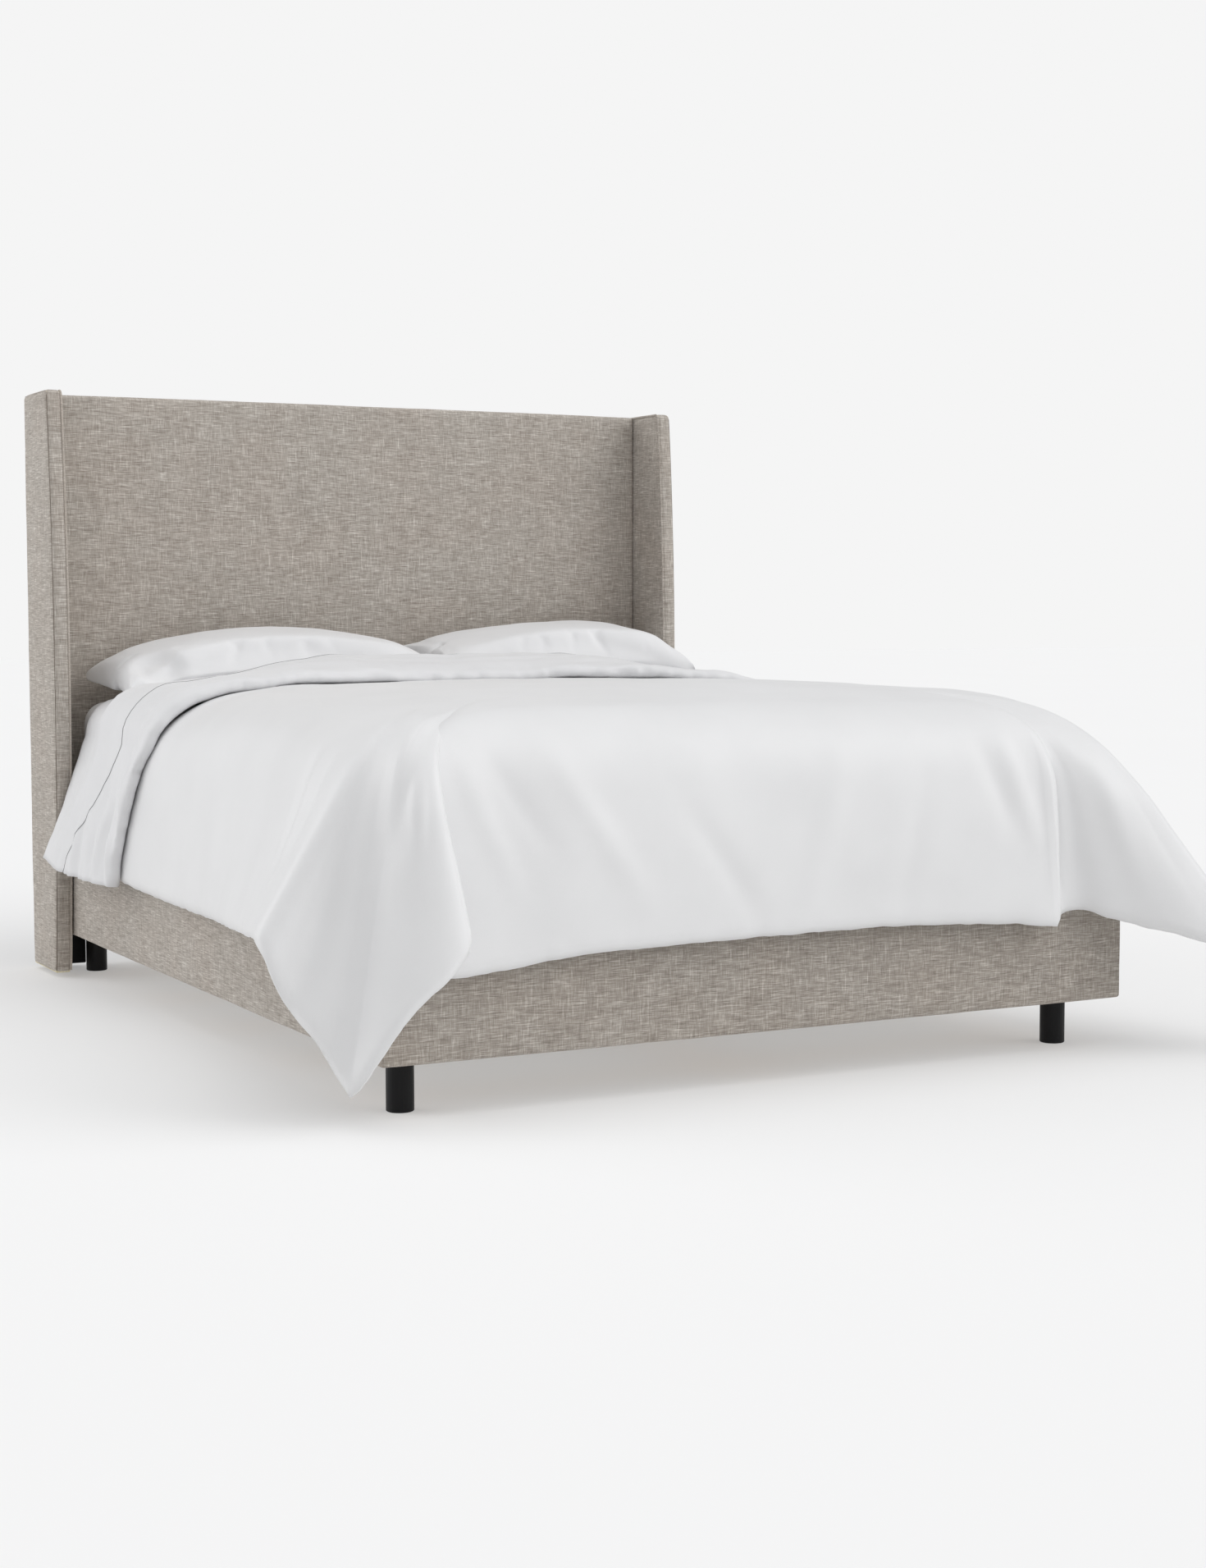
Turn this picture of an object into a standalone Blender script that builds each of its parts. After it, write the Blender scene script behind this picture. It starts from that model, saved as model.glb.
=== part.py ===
"""An upholstered queen bed: wingback headboard, padded rails, slats, foundation, mattress and bedding.

Metres, +Z up, +Y towards the head, +X to the right as seen from the foot. The origin is on the floor,
under the middle of the bed. Distances called "along" are measured from the foot rail's outer face.
"""

import math

import bmesh
import bpy
from mathutils import Matrix, Vector

# Driving dimensions
BED_LENGTH = 2.161          # foot rail's outer face to the back of the headboard
RAIL_SPAN = 1.626           # over the outer faces of the two side rails
RAIL_LOW = 0.102
RAIL_HIGH = 0.305
RAIL_THICK = 0.045
HEAD_HIGH = 1.422
HEAD_THICK = 0.075
WING_DEPTH = 0.205
WING_THICK = 0.040
WING_PROUD = 0.045          # wing's outer face beyond the side rail's
WING_CLEAR = 0.012          # wing's lower end above the floor
MATTRESS_WIDE = 1.520
MATTRESS_LONG = 2.028
MATTRESS_DEEP = 0.318
FOUNDATION_WIDE = 1.500
FOUNDATION_LONG = 2.010
FOUNDATION_DEEP = 0.190
DUVET_REACH = 0.171         # how far the duvet's corners stand out ahead of the foot rail
DUVET_DROP = 0.485          # duvet beyond the start of the mattress's shoulder
DUVET_HEAD = 1.400          # along, at the duvet's head edge
PILLOW = (0.790, 0.400, 0.150)
PILLOW_TILT = 11            # degrees, the head side raised

# Smaller sizes
GAP = 0.0004                # between pieces that touch
FABRIC = 0.002
BED_LINEN = 0.0016
FOAM_WALL = 0.0055
HEAD_FOAM = 0.022
HEAD_BOARD = 0.008
STILE = 0.068
LOWER_RAIL = 0.100
RAIL_PAD = 0.008
WELT_RADIUS = 0.0022
WELT_TURN = 0.012           # radius of the welt's bend at the top of the wing
MATTRESS_EDGE = 0.045
LEG_RADIUS = 0.0255
LEG_INSET = 0.083           # leg's axis inside the side rail's outer face
FRONT_LEG = 0.115           # along
REAR_LEG = 2.046
SLAT = (0.070, 0.019)
SLAT_COUNT = 5
FIRST_SLAT = 0.215          # along, at its middle
LAST_SLAT = 1.945
LEDGER = (0.022, 0.024)
BEAM_WIDE = 0.060
BEAM_DEEP = 0.022
CENTRE_LEG_RADIUS = 0.020
GLIDE_RADIUS = 0.016
STUD_RADIUS = 0.004
STUD_CLEARANCE = 0.0005
BRACKET = 0.003
BRACKET_ARM = 0.060
BRACKET_RETURN = 0.014
BRACKET_TALL = 0.060
BOLT_SETBACK = 0.038        # bolt's axis from the inner corner
BOLT_HOLE = 0.0044          # radius
BOLT_SHANK = (0.0039, 0.022)
BOLT_HEAD = (0.0068, 0.005)

# Derived places
FOOT = (DUVET_REACH - BED_LENGTH) / 2
HEAD_FRONT = BED_LENGTH - HEAD_THICK
RAIL_OUT = RAIL_SPAN / 2
RAIL_IN = RAIL_OUT - RAIL_THICK
WING_OUT = RAIL_OUT + WING_PROUD
WING_IN = WING_OUT - WING_THICK
WING_FRONT = BED_LENGTH - WING_DEPTH
LEG_X = RAIL_OUT - LEG_INSET
BLOCK_TOP = RAIL_LOW + 0.036
SLAT_LOW = BLOCK_TOP + 0.002
SLAT_TOP = SLAT_LOW + SLAT[1]
FOUNDATION_LOW = SLAT_TOP + GAP
MATTRESS_LOW = FOUNDATION_LOW + FOUNDATION_DEEP + GAP
MATTRESS_TOP = MATTRESS_LOW + MATTRESS_DEEP
BED_MIDDLE = (RAIL_THICK + HEAD_FRONT) / 2
SHEET_TOP = MATTRESS_TOP + GAP + BED_LINEN

for old in list(bpy.data.objects):
    bpy.data.objects.remove(old)


def new_collection(name):
    made = bpy.data.collections.new(name)
    bpy.context.scene.collection.children.link(made)
    return made


PARTS = new_collection("upholstered_bed")
CUTTERS = new_collection("cutters")


def new_material(name, colour, roughness, metallic=0.0):
    made = bpy.data.materials.new(name)
    made.use_nodes = True
    shader = made.node_tree.nodes["Principled BSDF"]
    shader.inputs["Base Color"].default_value = (*colour, 1.0)
    shader.inputs["Roughness"].default_value = roughness
    shader.inputs["Metallic"].default_value = metallic
    made.diffuse_color = (*colour, 1.0)
    return made


UPHOLSTERY = new_material("upholstery", (0.34, 0.31, 0.27), 0.90)
WELT_CORD = new_material("welt", (0.45, 0.42, 0.37), 0.90)
FOAM = new_material("foam", (0.85, 0.80, 0.62), 0.95)
TIMBER = new_material("timber", (0.62, 0.44, 0.26), 0.65)
BOARD = new_material("board", (0.66, 0.50, 0.32), 0.70)
DUST_CLOTH = new_material("dust_cloth", (0.03, 0.03, 0.03), 0.95)
LEG_PAINT = new_material("leg_paint", (0.012, 0.012, 0.014), 0.35)
STEEL = new_material("steel", (0.55, 0.55, 0.57), 0.40, 1.0)
GLIDE = new_material("glide", (0.05, 0.05, 0.05), 0.55)
TICKING = new_material("ticking", (0.80, 0.79, 0.77), 0.90)
PERCALE = new_material("percale", (0.86, 0.86, 0.88), 0.80)
DOWN = new_material("sateen", (0.88, 0.88, 0.90), 0.65)


def finish(obj, material, smooth=False):
    """Puts a made object in the part's collection, with its material and shading."""
    PARTS.objects.link(obj)
    if obj.data.materials:
        obj.data.materials[0] = material
    else:
        obj.data.materials.append(material)
    if smooth and obj.type == "MESH":
        obj.data.shade_smooth()
        obj.data.set_sharp_from_angle(angle=math.radians(40))
    return obj


def mesh_object(name, bm):
    bmesh.ops.recalc_face_normals(bm, faces=bm.faces)
    mesh = bpy.data.meshes.new(name)
    bm.to_mesh(mesh)
    bm.free()
    return bpy.data.objects.new(name, mesh)


def box_mesh(low, high):
    """A bmesh cube between two corners, whose y is measured along the bed."""
    size = [b - a for a, b in zip(low, high)]
    middle = [(a + b) / 2 for a, b in zip(low, high)]
    bm = bmesh.new()
    bmesh.ops.create_cube(bm, size=1.0)
    bmesh.ops.scale(bm, vec=size, verts=bm.verts)
    return bm, Vector((middle[0], middle[1] + FOOT, middle[2]))


def round_edges(obj, width, segments=2):
    edge = obj.modifiers.new("round", "BEVEL")
    edge.width = width
    edge.segments = segments
    edge.limit_method = "ANGLE"
    return edge


def block(name, low, high, material, edge=0.0, segments=2):
    """A solid box with rounded edges."""
    bm, place = box_mesh(low, high)
    obj = mesh_object(name, bm)
    obj.location = place
    if edge:
        round_edges(obj, edge, segments)
    return finish(obj, material)


def shell(name, low, high, wall, open_towards, material, edge=0.0, segments=2):
    """A box's skin, open on the sides whose outward normals are given."""
    bm, place = box_mesh(low, high)
    bm.normal_update()
    gone = [f for f in bm.faces if any(f.normal.dot(Vector(o)) > 0.9 for o in open_towards)]
    bmesh.ops.delete(bm, geom=gone, context="FACES")
    mesh = bpy.data.meshes.new(name)
    bm.to_mesh(mesh)
    bm.free()
    obj = bpy.data.objects.new(name, mesh)
    obj.location = place
    if edge:
        round_edges(obj, edge, segments)
    skin = obj.modifiers.new("wall", "SOLIDIFY")
    skin.thickness = wall
    skin.offset = -1.0
    skin.use_even_offset = True
    return finish(obj, material)


def post(name, x, along, low, high, radius, material, segments=32):
    """An upright round post with softened rims."""
    bm = bmesh.new()
    bmesh.ops.create_cone(bm, cap_ends=True, segments=segments, radius1=radius, radius2=radius,
                          depth=high - low)
    obj = mesh_object(name, bm)
    obj.location = (x, along + FOOT, (low + high) / 2)
    round_edges(obj, 0.0015, 1)
    return finish(obj, material, smooth=True)


def turned(name, x, along, profile, material, steps=24):
    """A solid of revolution about an upright axis, from (radius, height) points listed top to bottom."""
    bm = bmesh.new()
    ring = [bm.verts.new((r, 0.0, z)) for r, z in profile]
    for a, b in zip(ring, ring[1:]):
        bm.edges.new((a, b))
    mesh = bpy.data.meshes.new(name)
    bm.to_mesh(mesh)
    bm.free()
    obj = bpy.data.objects.new(name, mesh)
    obj.location = (x, along + FOOT, 0.0)
    spin = obj.modifiers.new("spin", "SCREW")
    spin.steps = steps
    spin.render_steps = steps
    spin.use_merge_vertices = True
    spin.merge_threshold = 0.00005
    return finish(obj, material, smooth=True)


def drill(obj, start, end, radius):
    """Cuts a round hole between two points whose y is measured along the bed."""
    a = Vector((start[0], start[1] + FOOT, start[2]))
    b = Vector((end[0], end[1] + FOOT, end[2]))
    bm = bmesh.new()
    bmesh.ops.create_cone(bm, cap_ends=True, segments=16, radius1=radius, radius2=radius,
                          depth=(b - a).length)
    cutter = mesh_object(obj.name + "_hole", bm)
    CUTTERS.objects.link(cutter)
    turn = (b - a).to_track_quat("Z", "Y").to_matrix().to_4x4()
    cutter.matrix_world = Matrix.Translation((a + b) / 2) @ turn
    cutter.hide_render = True
    cutter.display_type = "WIRE"
    cut = obj.modifiers.new("hole", "BOOLEAN")
    cut.operation = "DIFFERENCE"
    cut.object = cutter


def cloth(name, columns, rows, surface, material, thickness):
    """A closed sheet: surface(s, t) gives a point for s and t from 0 to 1, thickened outwards.
    Thickness is (thin, thick), and surface's fourth value from 0 to 1 picks between the two."""
    bm = bmesh.new()
    bmesh.ops.create_grid(bm, x_segments=columns, y_segments=rows, size=0.5)
    mesh = bpy.data.meshes.new(name)
    bm.to_mesh(mesh)
    bm.free()
    obj = bpy.data.objects.new(name, mesh)
    fullness = obj.vertex_groups.new(name="fullness")
    for vertex in mesh.vertices:
        x, along, z, full = surface(vertex.co.x + 0.5, vertex.co.y + 0.5)
        vertex.co = (x, along + FOOT, z)
        fullness.add([vertex.index], full, "REPLACE")
    mesh.update()
    body = obj.modifiers.new("body", "SOLIDIFY")
    body.thickness = thickness[1]
    body.offset = 1.0
    body.vertex_group = fullness.name
    body.thickness_vertex_group = thickness[0] / thickness[1]
    return finish(obj, material, smooth=True)


# Headboard: a timber frame faced with board, foam and cloth, closed behind with a dust cloth.
# Its layers are listed from the front.
PANEL_HALF = WING_IN - 0.0015
COVER_BACK = BED_LENGTH - FABRIC
FOAM_FRONT = HEAD_FRONT + FABRIC + GAP
BOARD_FRONT = FOAM_FRONT + HEAD_FOAM + GAP
FRAME_FRONT = BOARD_FRONT + HEAD_BOARD + GAP
FRAME_BACK = COVER_BACK - GAP
FOAM_HALF = PANEL_HALF - FABRIC - 4 * GAP
FOAM_TOP = HEAD_HIGH - FABRIC - 4 * GAP
PANEL_IN = FOAM_HALF - 0.003
PANEL_TOP = FOAM_TOP - 0.003
PANEL_LOW = RAIL_LOW + 0.002


def headboard():
    shell("headboard_cover", (-PANEL_HALF, HEAD_FRONT, RAIL_LOW), (PANEL_HALF, COVER_BACK, HEAD_HIGH),
          FABRIC, [(0, 1, 0), (0, 0, -1)], UPHOLSTERY, 0.014, 3)
    block("headboard_foam", (-FOAM_HALF, FOAM_FRONT, PANEL_LOW),
          (FOAM_HALF, FOAM_FRONT + HEAD_FOAM, FOAM_TOP), FOAM, 0.0105, 3)
    block("headboard_panel", (-PANEL_IN, BOARD_FRONT, PANEL_LOW),
          (PANEL_IN, BOARD_FRONT + HEAD_BOARD, PANEL_TOP), BOARD)
    bars = {
        "headboard_top_rail": (PANEL_TOP - STILE, PANEL_TOP),
        "headboard_lower_rail": (PANEL_LOW, PANEL_LOW + LOWER_RAIL),
    }
    reach = PANEL_IN - STILE - GAP
    for name, (low, high) in bars.items():
        block(name, (-reach, FRAME_FRONT, low), (reach, FRAME_BACK, high), TIMBER)
    for side, label in ((-1, "left"), (1, "right")):
        edges = sorted((side * PANEL_IN, side * (PANEL_IN - STILE)))
        block(f"headboard_stile_{label}", (edges[0], FRAME_FRONT, PANEL_LOW),
              (edges[1], FRAME_BACK, PANEL_TOP), TIMBER)
        foot = sorted((side * (PANEL_IN - 0.004), side * (PANEL_IN - STILE)))
        block(f"headboard_foot_{label}", (foot[0], FRAME_FRONT - 0.02, WING_CLEAR),
              (foot[1], FRAME_BACK - 0.004, PANEL_LOW - GAP), LEG_PAINT, 0.002, 1)
    block("headboard_dust_cloth", (-PANEL_HALF, COVER_BACK + GAP, RAIL_LOW),
          (PANEL_HALF, BED_LENGTH, HEAD_HIGH - 0.004), DUST_CLOTH)


def wing(side, label):
    """One wing: a board wrapped in foam and cloth, with a welt down its inner front edge."""
    outer, inner = side * WING_OUT, side * WING_IN
    layers = (
        ("cover", FABRIC, 0.0, UPHOLSTERY, 0.010),
        ("foam", FOAM_WALL, FABRIC + GAP, FOAM, 0.008),
    )
    for name, wall, inset, material, edge in layers:
        ends = sorted((outer - side * inset, inner + side * inset))
        shell(f"wing_{name}_{label}", (ends[0], WING_FRONT + inset, WING_CLEAR),
              (ends[1], BED_LENGTH - inset, HEAD_HIGH - inset), wall, [(0, 0, -1)], material, edge, 3)
    inset = FABRIC + FOAM_WALL + 2 * GAP
    ends = sorted((outer - side * inset, inner + side * inset))
    block(f"wing_board_{label}", (ends[0], WING_FRONT + inset, WING_CLEAR),
          (ends[1], BED_LENGTH - inset, HEAD_HIGH - inset), BOARD, 0.003, 1)
    curve = bpy.data.curves.new(f"wing_welt_{label}", "CURVE")
    curve.dimensions = "3D"
    curve.bevel_depth = WELT_RADIUS
    curve.bevel_resolution = 2
    curve.use_fill_caps = True
    line = curve.splines.new("POLY")
    turn = WELT_TURN
    points = [(inner, WING_FRONT, WING_CLEAR + 0.002), (inner, WING_FRONT, HEAD_HIGH - turn)]
    for step in range(1, 5):
        angle = math.radians(90 * step / 4)
        points.append((inner, WING_FRONT + turn * (1 - math.cos(angle)),
                       HEAD_HIGH - turn + turn * math.sin(angle)))
    points.append((inner, BED_LENGTH - HEAD_THICK, HEAD_HIGH))
    line.points.add(len(points) - 1)
    for point, (x, along, z) in zip(line.points, points):
        point.co = (x, along + FOOT, z, 1.0)
    finish(bpy.data.objects.new(curve.name, curve), WELT_CORD)


def rail_core(name, low, high, open_side):
    """The timber inside a rail's padded sleeve, up to the sleeve's open side."""
    low, high = list(low), list(high)
    for axis in range(3):
        for corner, sign in ((low, 1), (high, -1)):
            if open_side[axis] != -sign:
                corner[axis] += sign * (RAIL_PAD + GAP)
    return block(name, low, high, TIMBER, 0.003, 1)


def rails():
    """Foot rail and side rails, each a timber in a padded sleeve that is open on its inner side."""
    low, high = (-RAIL_OUT, 0.0, RAIL_LOW), (RAIL_OUT, RAIL_THICK, RAIL_HIGH)
    shell("foot_rail_cover", low, high, RAIL_PAD, [(0, 1, 0)], UPHOLSTERY, 0.010, 3)
    rail_core("foot_rail", low, high, (0, 1, 0))
    for side, label in ((-1, "left"), (1, "right")):
        ends = sorted((side * RAIL_OUT, side * RAIL_IN))
        low = (ends[0], RAIL_THICK + GAP, RAIL_LOW)
        high = (ends[1], HEAD_FRONT - GAP, RAIL_HIGH)
        inward = (-side, 0, 0)
        shell(f"side_rail_cover_{label}", low, high, RAIL_PAD, [inward], UPHOLSTERY, 0.007, 2)
        rail_core(f"side_rail_{label}", low, high, inward)


def supports():
    """Corner blocks and legs, ledgers, slats, and the beam and legs under the middle."""
    for side, label in ((-1, "left"), (1, "right")):
        inner, outer = side * (RAIL_IN - 0.078), side * (RAIL_IN - GAP)
        ends = sorted((inner, outer))
        for end, start, stop, leg in (("front", RAIL_THICK + GAP, 0.160, FRONT_LEG),
                                      ("rear", 2.002, HEAD_FRONT - GAP, REAR_LEG)):
            block(f"corner_block_{end}_{label}", (ends[0], start, RAIL_LOW + 0.001),
                  (ends[1], stop, BLOCK_TOP), TIMBER)
            post(f"leg_{end}_{label}", side * LEG_X, leg, 0.0, RAIL_LOW + 0.001 - GAP, LEG_RADIUS,
                 LEG_PAINT)
        ledge = sorted((side * (RAIL_IN - LEDGER[0]), outer))
        block(f"ledger_{label}", (ledge[0], 0.162, SLAT_LOW - GAP - LEDGER[1]),
              (ledge[1], 2.000, SLAT_LOW - GAP), TIMBER)
    spacing = (LAST_SLAT - FIRST_SLAT) / (SLAT_COUNT - 1)
    half = RAIL_IN - 0.002
    for number in range(SLAT_COUNT):
        along = FIRST_SLAT + spacing * number
        block(f"slat_{number + 1}", (-half, along - SLAT[0] / 2, SLAT_LOW),
              (half, along + SLAT[0] / 2, SLAT_TOP), TIMBER)
    beam_top = SLAT_LOW - GAP
    block("centre_beam", (-BEAM_WIDE / 2, RAIL_THICK + 0.002, beam_top - BEAM_DEEP),
          (BEAM_WIDE / 2, HEAD_FRONT - 0.002, beam_top), TIMBER)
    leg_top = beam_top - BEAM_DEEP - GAP
    for number, slat in enumerate((1, SLAT_COUNT - 2), 1):
        centre_leg(number, FIRST_SLAT + spacing * slat, leg_top)


def centre_leg(number, along, top):
    """A short post with a bore up its axis, and the levelling glide whose stud runs in the bore."""
    disc = 0.006
    bore_top, stud_top = 0.046, 0.040
    low = disc + GAP
    bore = STUD_RADIUS + STUD_CLEARANCE
    rim = 0.001
    outer = CENTRE_LEG_RADIUS
    turned(f"centre_leg_{number}", 0.0, along,
           [(0.0, top), (outer, top), (outer, low + rim), (outer - rim, low),
            (bore, low), (bore, bore_top), (0.0, bore_top)], LEG_PAINT)
    outer = GLIDE_RADIUS
    turned(f"glide_{number}", 0.0, along,
           [(0.0, stud_top), (STUD_RADIUS, stud_top - rim), (STUD_RADIUS, disc), (outer - rim, disc),
            (outer, disc - rim), (outer, rim), (outer - rim, 0.0), (0.0, 0.0)], GLIDE)


def brackets():
    """A steel angle in each inner corner of the rails, with one bolt through it into the side rail."""
    low = SLAT_TOP + 0.006
    height = low + BRACKET_TALL / 2
    wall = BRACKET
    outline = [(0, 0), (BRACKET_RETURN, 0), (BRACKET_RETURN, wall), (wall, wall), (wall, BRACKET_ARM),
               (0, BRACKET_ARM)]
    for side, label in ((-1, "left"), (1, "right")):
        face = side * (RAIL_IN - GAP)
        for end, corner, turn in (("front", RAIL_THICK + GAP, 1), ("rear", HEAD_FRONT - GAP, -1)):
            bm = bmesh.new()
            origin = Vector((face, corner + FOOT, low))
            lower = [bm.verts.new(origin + Vector((-side * a, turn * b, 0.0))) for a, b in outline]
            raised = bmesh.ops.extrude_face_region(bm, geom=[bm.faces.new(lower)])
            top = [v for v in raised["geom"] if isinstance(v, bmesh.types.BMVert)]
            bmesh.ops.translate(bm, vec=(0, 0, BRACKET_TALL), verts=top)
            angle = finish(mesh_object(f"bracket_{end}_{label}", bm), STEEL)
            along = corner + turn * BOLT_SETBACK
            inner, outer, deep = (face + side * reach for reach in (-0.010, 0.010, BOLT_SHANK[1] + 0.002))
            drill(angle, (outer, along, height), (face - side * 0.030, along, height), BOLT_HOLE)
            timber = bpy.data.objects[f"side_rail_{label}"]
            drill(timber, (deep, along, height), (inner, along, height), BOLT_HOLE)
            bolt(f"bolt_{end}_{label}", side, face - side * (BRACKET + GAP), along, height)


def bolt(name, side, seat, along, height):
    """A hexagon head against the bracket, with its shank through the bracket into the rail."""
    radius, head = BOLT_HEAD
    shank_radius, shank = BOLT_SHANK
    bm = bmesh.new()
    bmesh.ops.create_cone(bm, cap_ends=True, segments=6, radius1=radius, radius2=radius, depth=head)
    bmesh.ops.translate(bm, vec=(0, 0, -head / 2), verts=bm.verts)
    face = max(bm.faces, key=lambda f: f.calc_center_median().z)
    bmesh.ops.inset_region(bm, faces=[face], thickness=radius - shank_radius, use_even_offset=True)
    raised = bmesh.ops.extrude_face_region(bm, geom=[face])
    top = [v for v in raised["geom"] if isinstance(v, bmesh.types.BMVert)]
    bmesh.ops.delete(bm, geom=[face], context="FACES_ONLY")
    bmesh.ops.translate(bm, vec=(0, 0, shank), verts=top)
    obj = finish(mesh_object(name, bm), STEEL)
    obj.matrix_world = Matrix.Translation((seat, along + FOOT, height)) @ Matrix.Rotation(
        side * math.pi / 2, 4, "Y")


def sleeping_surface():
    """Foundation, mattress and its fitted sheet."""
    half, middle = FOUNDATION_WIDE / 2, FOUNDATION_LONG / 2
    block("foundation", (-half, BED_MIDDLE - middle, FOUNDATION_LOW),
          (half, BED_MIDDLE + middle, FOUNDATION_LOW + FOUNDATION_DEEP), TICKING, 0.020, 2)
    half, middle = MATTRESS_WIDE / 2, MATTRESS_LONG / 2
    block("mattress", (-half, BED_MIDDLE - middle, MATTRESS_LOW),
          (half, BED_MIDDLE + middle, MATTRESS_TOP), TICKING, MATTRESS_EDGE, 3)
    reach = GAP + BED_LINEN
    half, middle = half + reach, middle + reach
    shell("fitted_sheet", (-half, BED_MIDDLE - middle, MATTRESS_LOW + 0.040),
          (half, BED_MIDDLE + middle, SHEET_TOP), BED_LINEN, [(0, 0, -1)], PERCALE,
          MATTRESS_EDGE + reach, 3)


# Bedding drapes over a shoulder that starts inside the mattress's edge and turns through a quarter.
SHOULDER = 0.100
SHOULDER_X = 0.700
SHOULDER_ALONG = 0.112
DUVET_CELLS = (24, 18)
SHEET_CELLS = (24, 10)
DROP_CELLS = 8              # of them, on each drop
SHEET_DROP = 0.435


def smooth_step(low, high, value):
    share = min(1.0, max(0.0, (value - low) / (high - low)))
    return share * share * (3 - 2 * share)


def fall(distance, radius, slope):
    """(outwards, down) after this much cloth past the shoulder's start, ending slope radians off upright."""
    turn = math.pi / 2 - slope
    if distance <= radius * turn:
        angle = distance / radius
        return radius * math.sin(angle), radius * (1 - math.cos(angle))
    rest = distance - radius * turn
    return (radius * math.sin(turn) + rest * math.sin(slope),
            radius * (1 - math.cos(turn)) + rest * math.cos(slope))


def spread(share, inside, drop, edge_cells, cells):
    """Distance from the middle for a share from -1 to 1, with edge_cells of the cells on the drop."""
    flat = 1 - edge_cells / cells
    size = abs(share)
    if size <= flat:
        return math.copysign(inside * size / flat, share)
    return math.copysign(inside + drop * (size - flat) / (1 - flat), share)


def duvet_surface(s, t):
    """The duvet's lower face: flat on the mattress, falling at both sides and the foot, with the
    spare cloth at each foot corner standing out as a cone that ends in a hanging point."""
    columns, rows = DUVET_CELLS
    across = spread(2 * s - 1, SHOULDER_X, DUVET_DROP, DROP_CELLS, columns / 2)
    foot_rows = DROP_CELLS / rows
    if t < foot_rows:
        beyond_foot = DUVET_DROP * (1 - t / foot_rows)
        along = SHOULDER_ALONG
    else:
        beyond_foot = 0.0
        run = (t - foot_rows) / (1 - foot_rows)
        along = SHOULDER_ALONG + (DUVET_HEAD - SHOULDER_ALONG) * run
    beyond_side = max(0.0, abs(across) - SHOULDER_X)
    side = math.copysign(1.0, across)
    top = SHEET_TOP + 0.014
    hang = math.hypot(beyond_side, beyond_foot)
    near_corner = 1 - smooth_step(SHOULDER_ALONG, 0.60, along)
    direction = math.atan2(beyond_foot, beyond_side)
    plain = math.radians(6)
    flare = math.radians(5)
    if beyond_foot > 0 and beyond_side == 0:
        slope = plain + flare * smooth_step(0.35, SHOULDER_X, abs(across))
    else:
        slope = plain + flare * near_corner + math.radians(19) * math.sin(2 * direction) ** 2
    out, down = fall(hang, SHOULDER, slope)
    x = min(abs(across), SHOULDER_X) * side
    if hang > 0:
        x += side * out * math.cos(direction)
        along -= out * math.sin(direction)
    crown = 0.012 * (1 - (across / SHOULDER_X) ** 2) if beyond_side == 0 and beyond_foot == 0 else 0.0
    full = 1 - 0.7 * smooth_step(0.0, 0.30, hang)
    return x, along, top - down + crown, full


def sheet_slope(along):
    """The sheet hangs close under the duvet and stands out where it is free."""
    return math.radians(3 + 13 * smooth_step(DUVET_HEAD, DUVET_HEAD + 0.12, along))


def side_drape(across, drop_start, radius, slope, top):
    """(x, z) of cloth that falls over both sides."""
    beyond = max(0.0, abs(across) - drop_start)
    out, down = fall(beyond, radius, slope)
    side = math.copysign(1.0, across)
    return side * (min(abs(across), drop_start) + out), top - down


def top_sheet_surface(s, t):
    """The top sheet's turned-back end: a soft roll beside the duvet that rises to a crest and runs
    down to its hem at the head side, under the pillows."""
    shoulder = SHOULDER_X - 0.005
    across = spread(2 * s - 1, shoulder, SHEET_DROP, DROP_CELLS, SHEET_CELLS[0] / 2)
    first, last = DUVET_HEAD + 0.045, 1.915
    along = first + (last - first) * t
    crest = math.sin(math.pi * min(1.0, t / 0.47)) if t < 0.47 else 0.0
    lift = 0.070 * crest * (1 - smooth_step(0.45, 0.80, abs(across)))
    x, z = side_drape(across, shoulder, 0.090, sheet_slope(along), SHEET_TOP + 0.010 + lift)
    return x, along, z, 1 - 0.7 * smooth_step(0.3, 0.6, t)


def bedding():
    cloth("duvet", *DUVET_CELLS, duvet_surface, DOWN, (0.014, 0.048))
    cloth("top_sheet", *SHEET_CELLS, top_sheet_surface, PERCALE, (0.006, 0.020))
    for side, label in ((-1, "left"), (1, "right")):
        pillow(f"pillow_{label}", side * 0.402, 1.876, side)


def pillow(name, x, along, side):
    """A crowned cushion with pinched corners, leaning back on the headboard."""
    wide, long, high = PILLOW
    bm = bmesh.new()
    bmesh.ops.create_cube(bm, size=1.0)
    bmesh.ops.subdivide_edges(bm, edges=bm.edges, cuts=3, use_grid_fill=True)
    for vertex in bm.verts:
        u, v, w = (2 * c for c in vertex.co)
        crown = (1 - 0.86 * abs(u) ** 3) * (1 - 0.86 * abs(v) ** 3)
        waist = 1 - 0.06 * (1 - v * v) * abs(u)
        hollow = 1 - 0.05 * (1 - u * u) * abs(v)
        vertex.co = (wide / 2 * u * waist, long / 2 * v * hollow, high / 2 * w * crown)
    obj = mesh_object(name, bm)
    obj.rotation_euler = (math.radians(PILLOW_TILT), 0.0, math.radians(-2 * side))
    obj.location = (x, along + FOOT, SHEET_TOP + 0.112)
    soft = obj.modifiers.new("soft", "SUBSURF")
    soft.levels = 1
    soft.render_levels = 1
    return finish(obj, PERCALE, smooth=True)


headboard()
for wing_side, wing_label in ((-1, "left"), (1, "right")):
    wing(wing_side, wing_label)
rails()
supports()
brackets()
sleeping_surface()
bedding()
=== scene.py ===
"""Looks for the wingback bed: upholstery, bedding, timber and steel, floor, light and camera."""
import math

import bmesh
import bpy
import numpy as np
from mathutils import Matrix, Vector, bvhtree, geometry, noise


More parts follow.
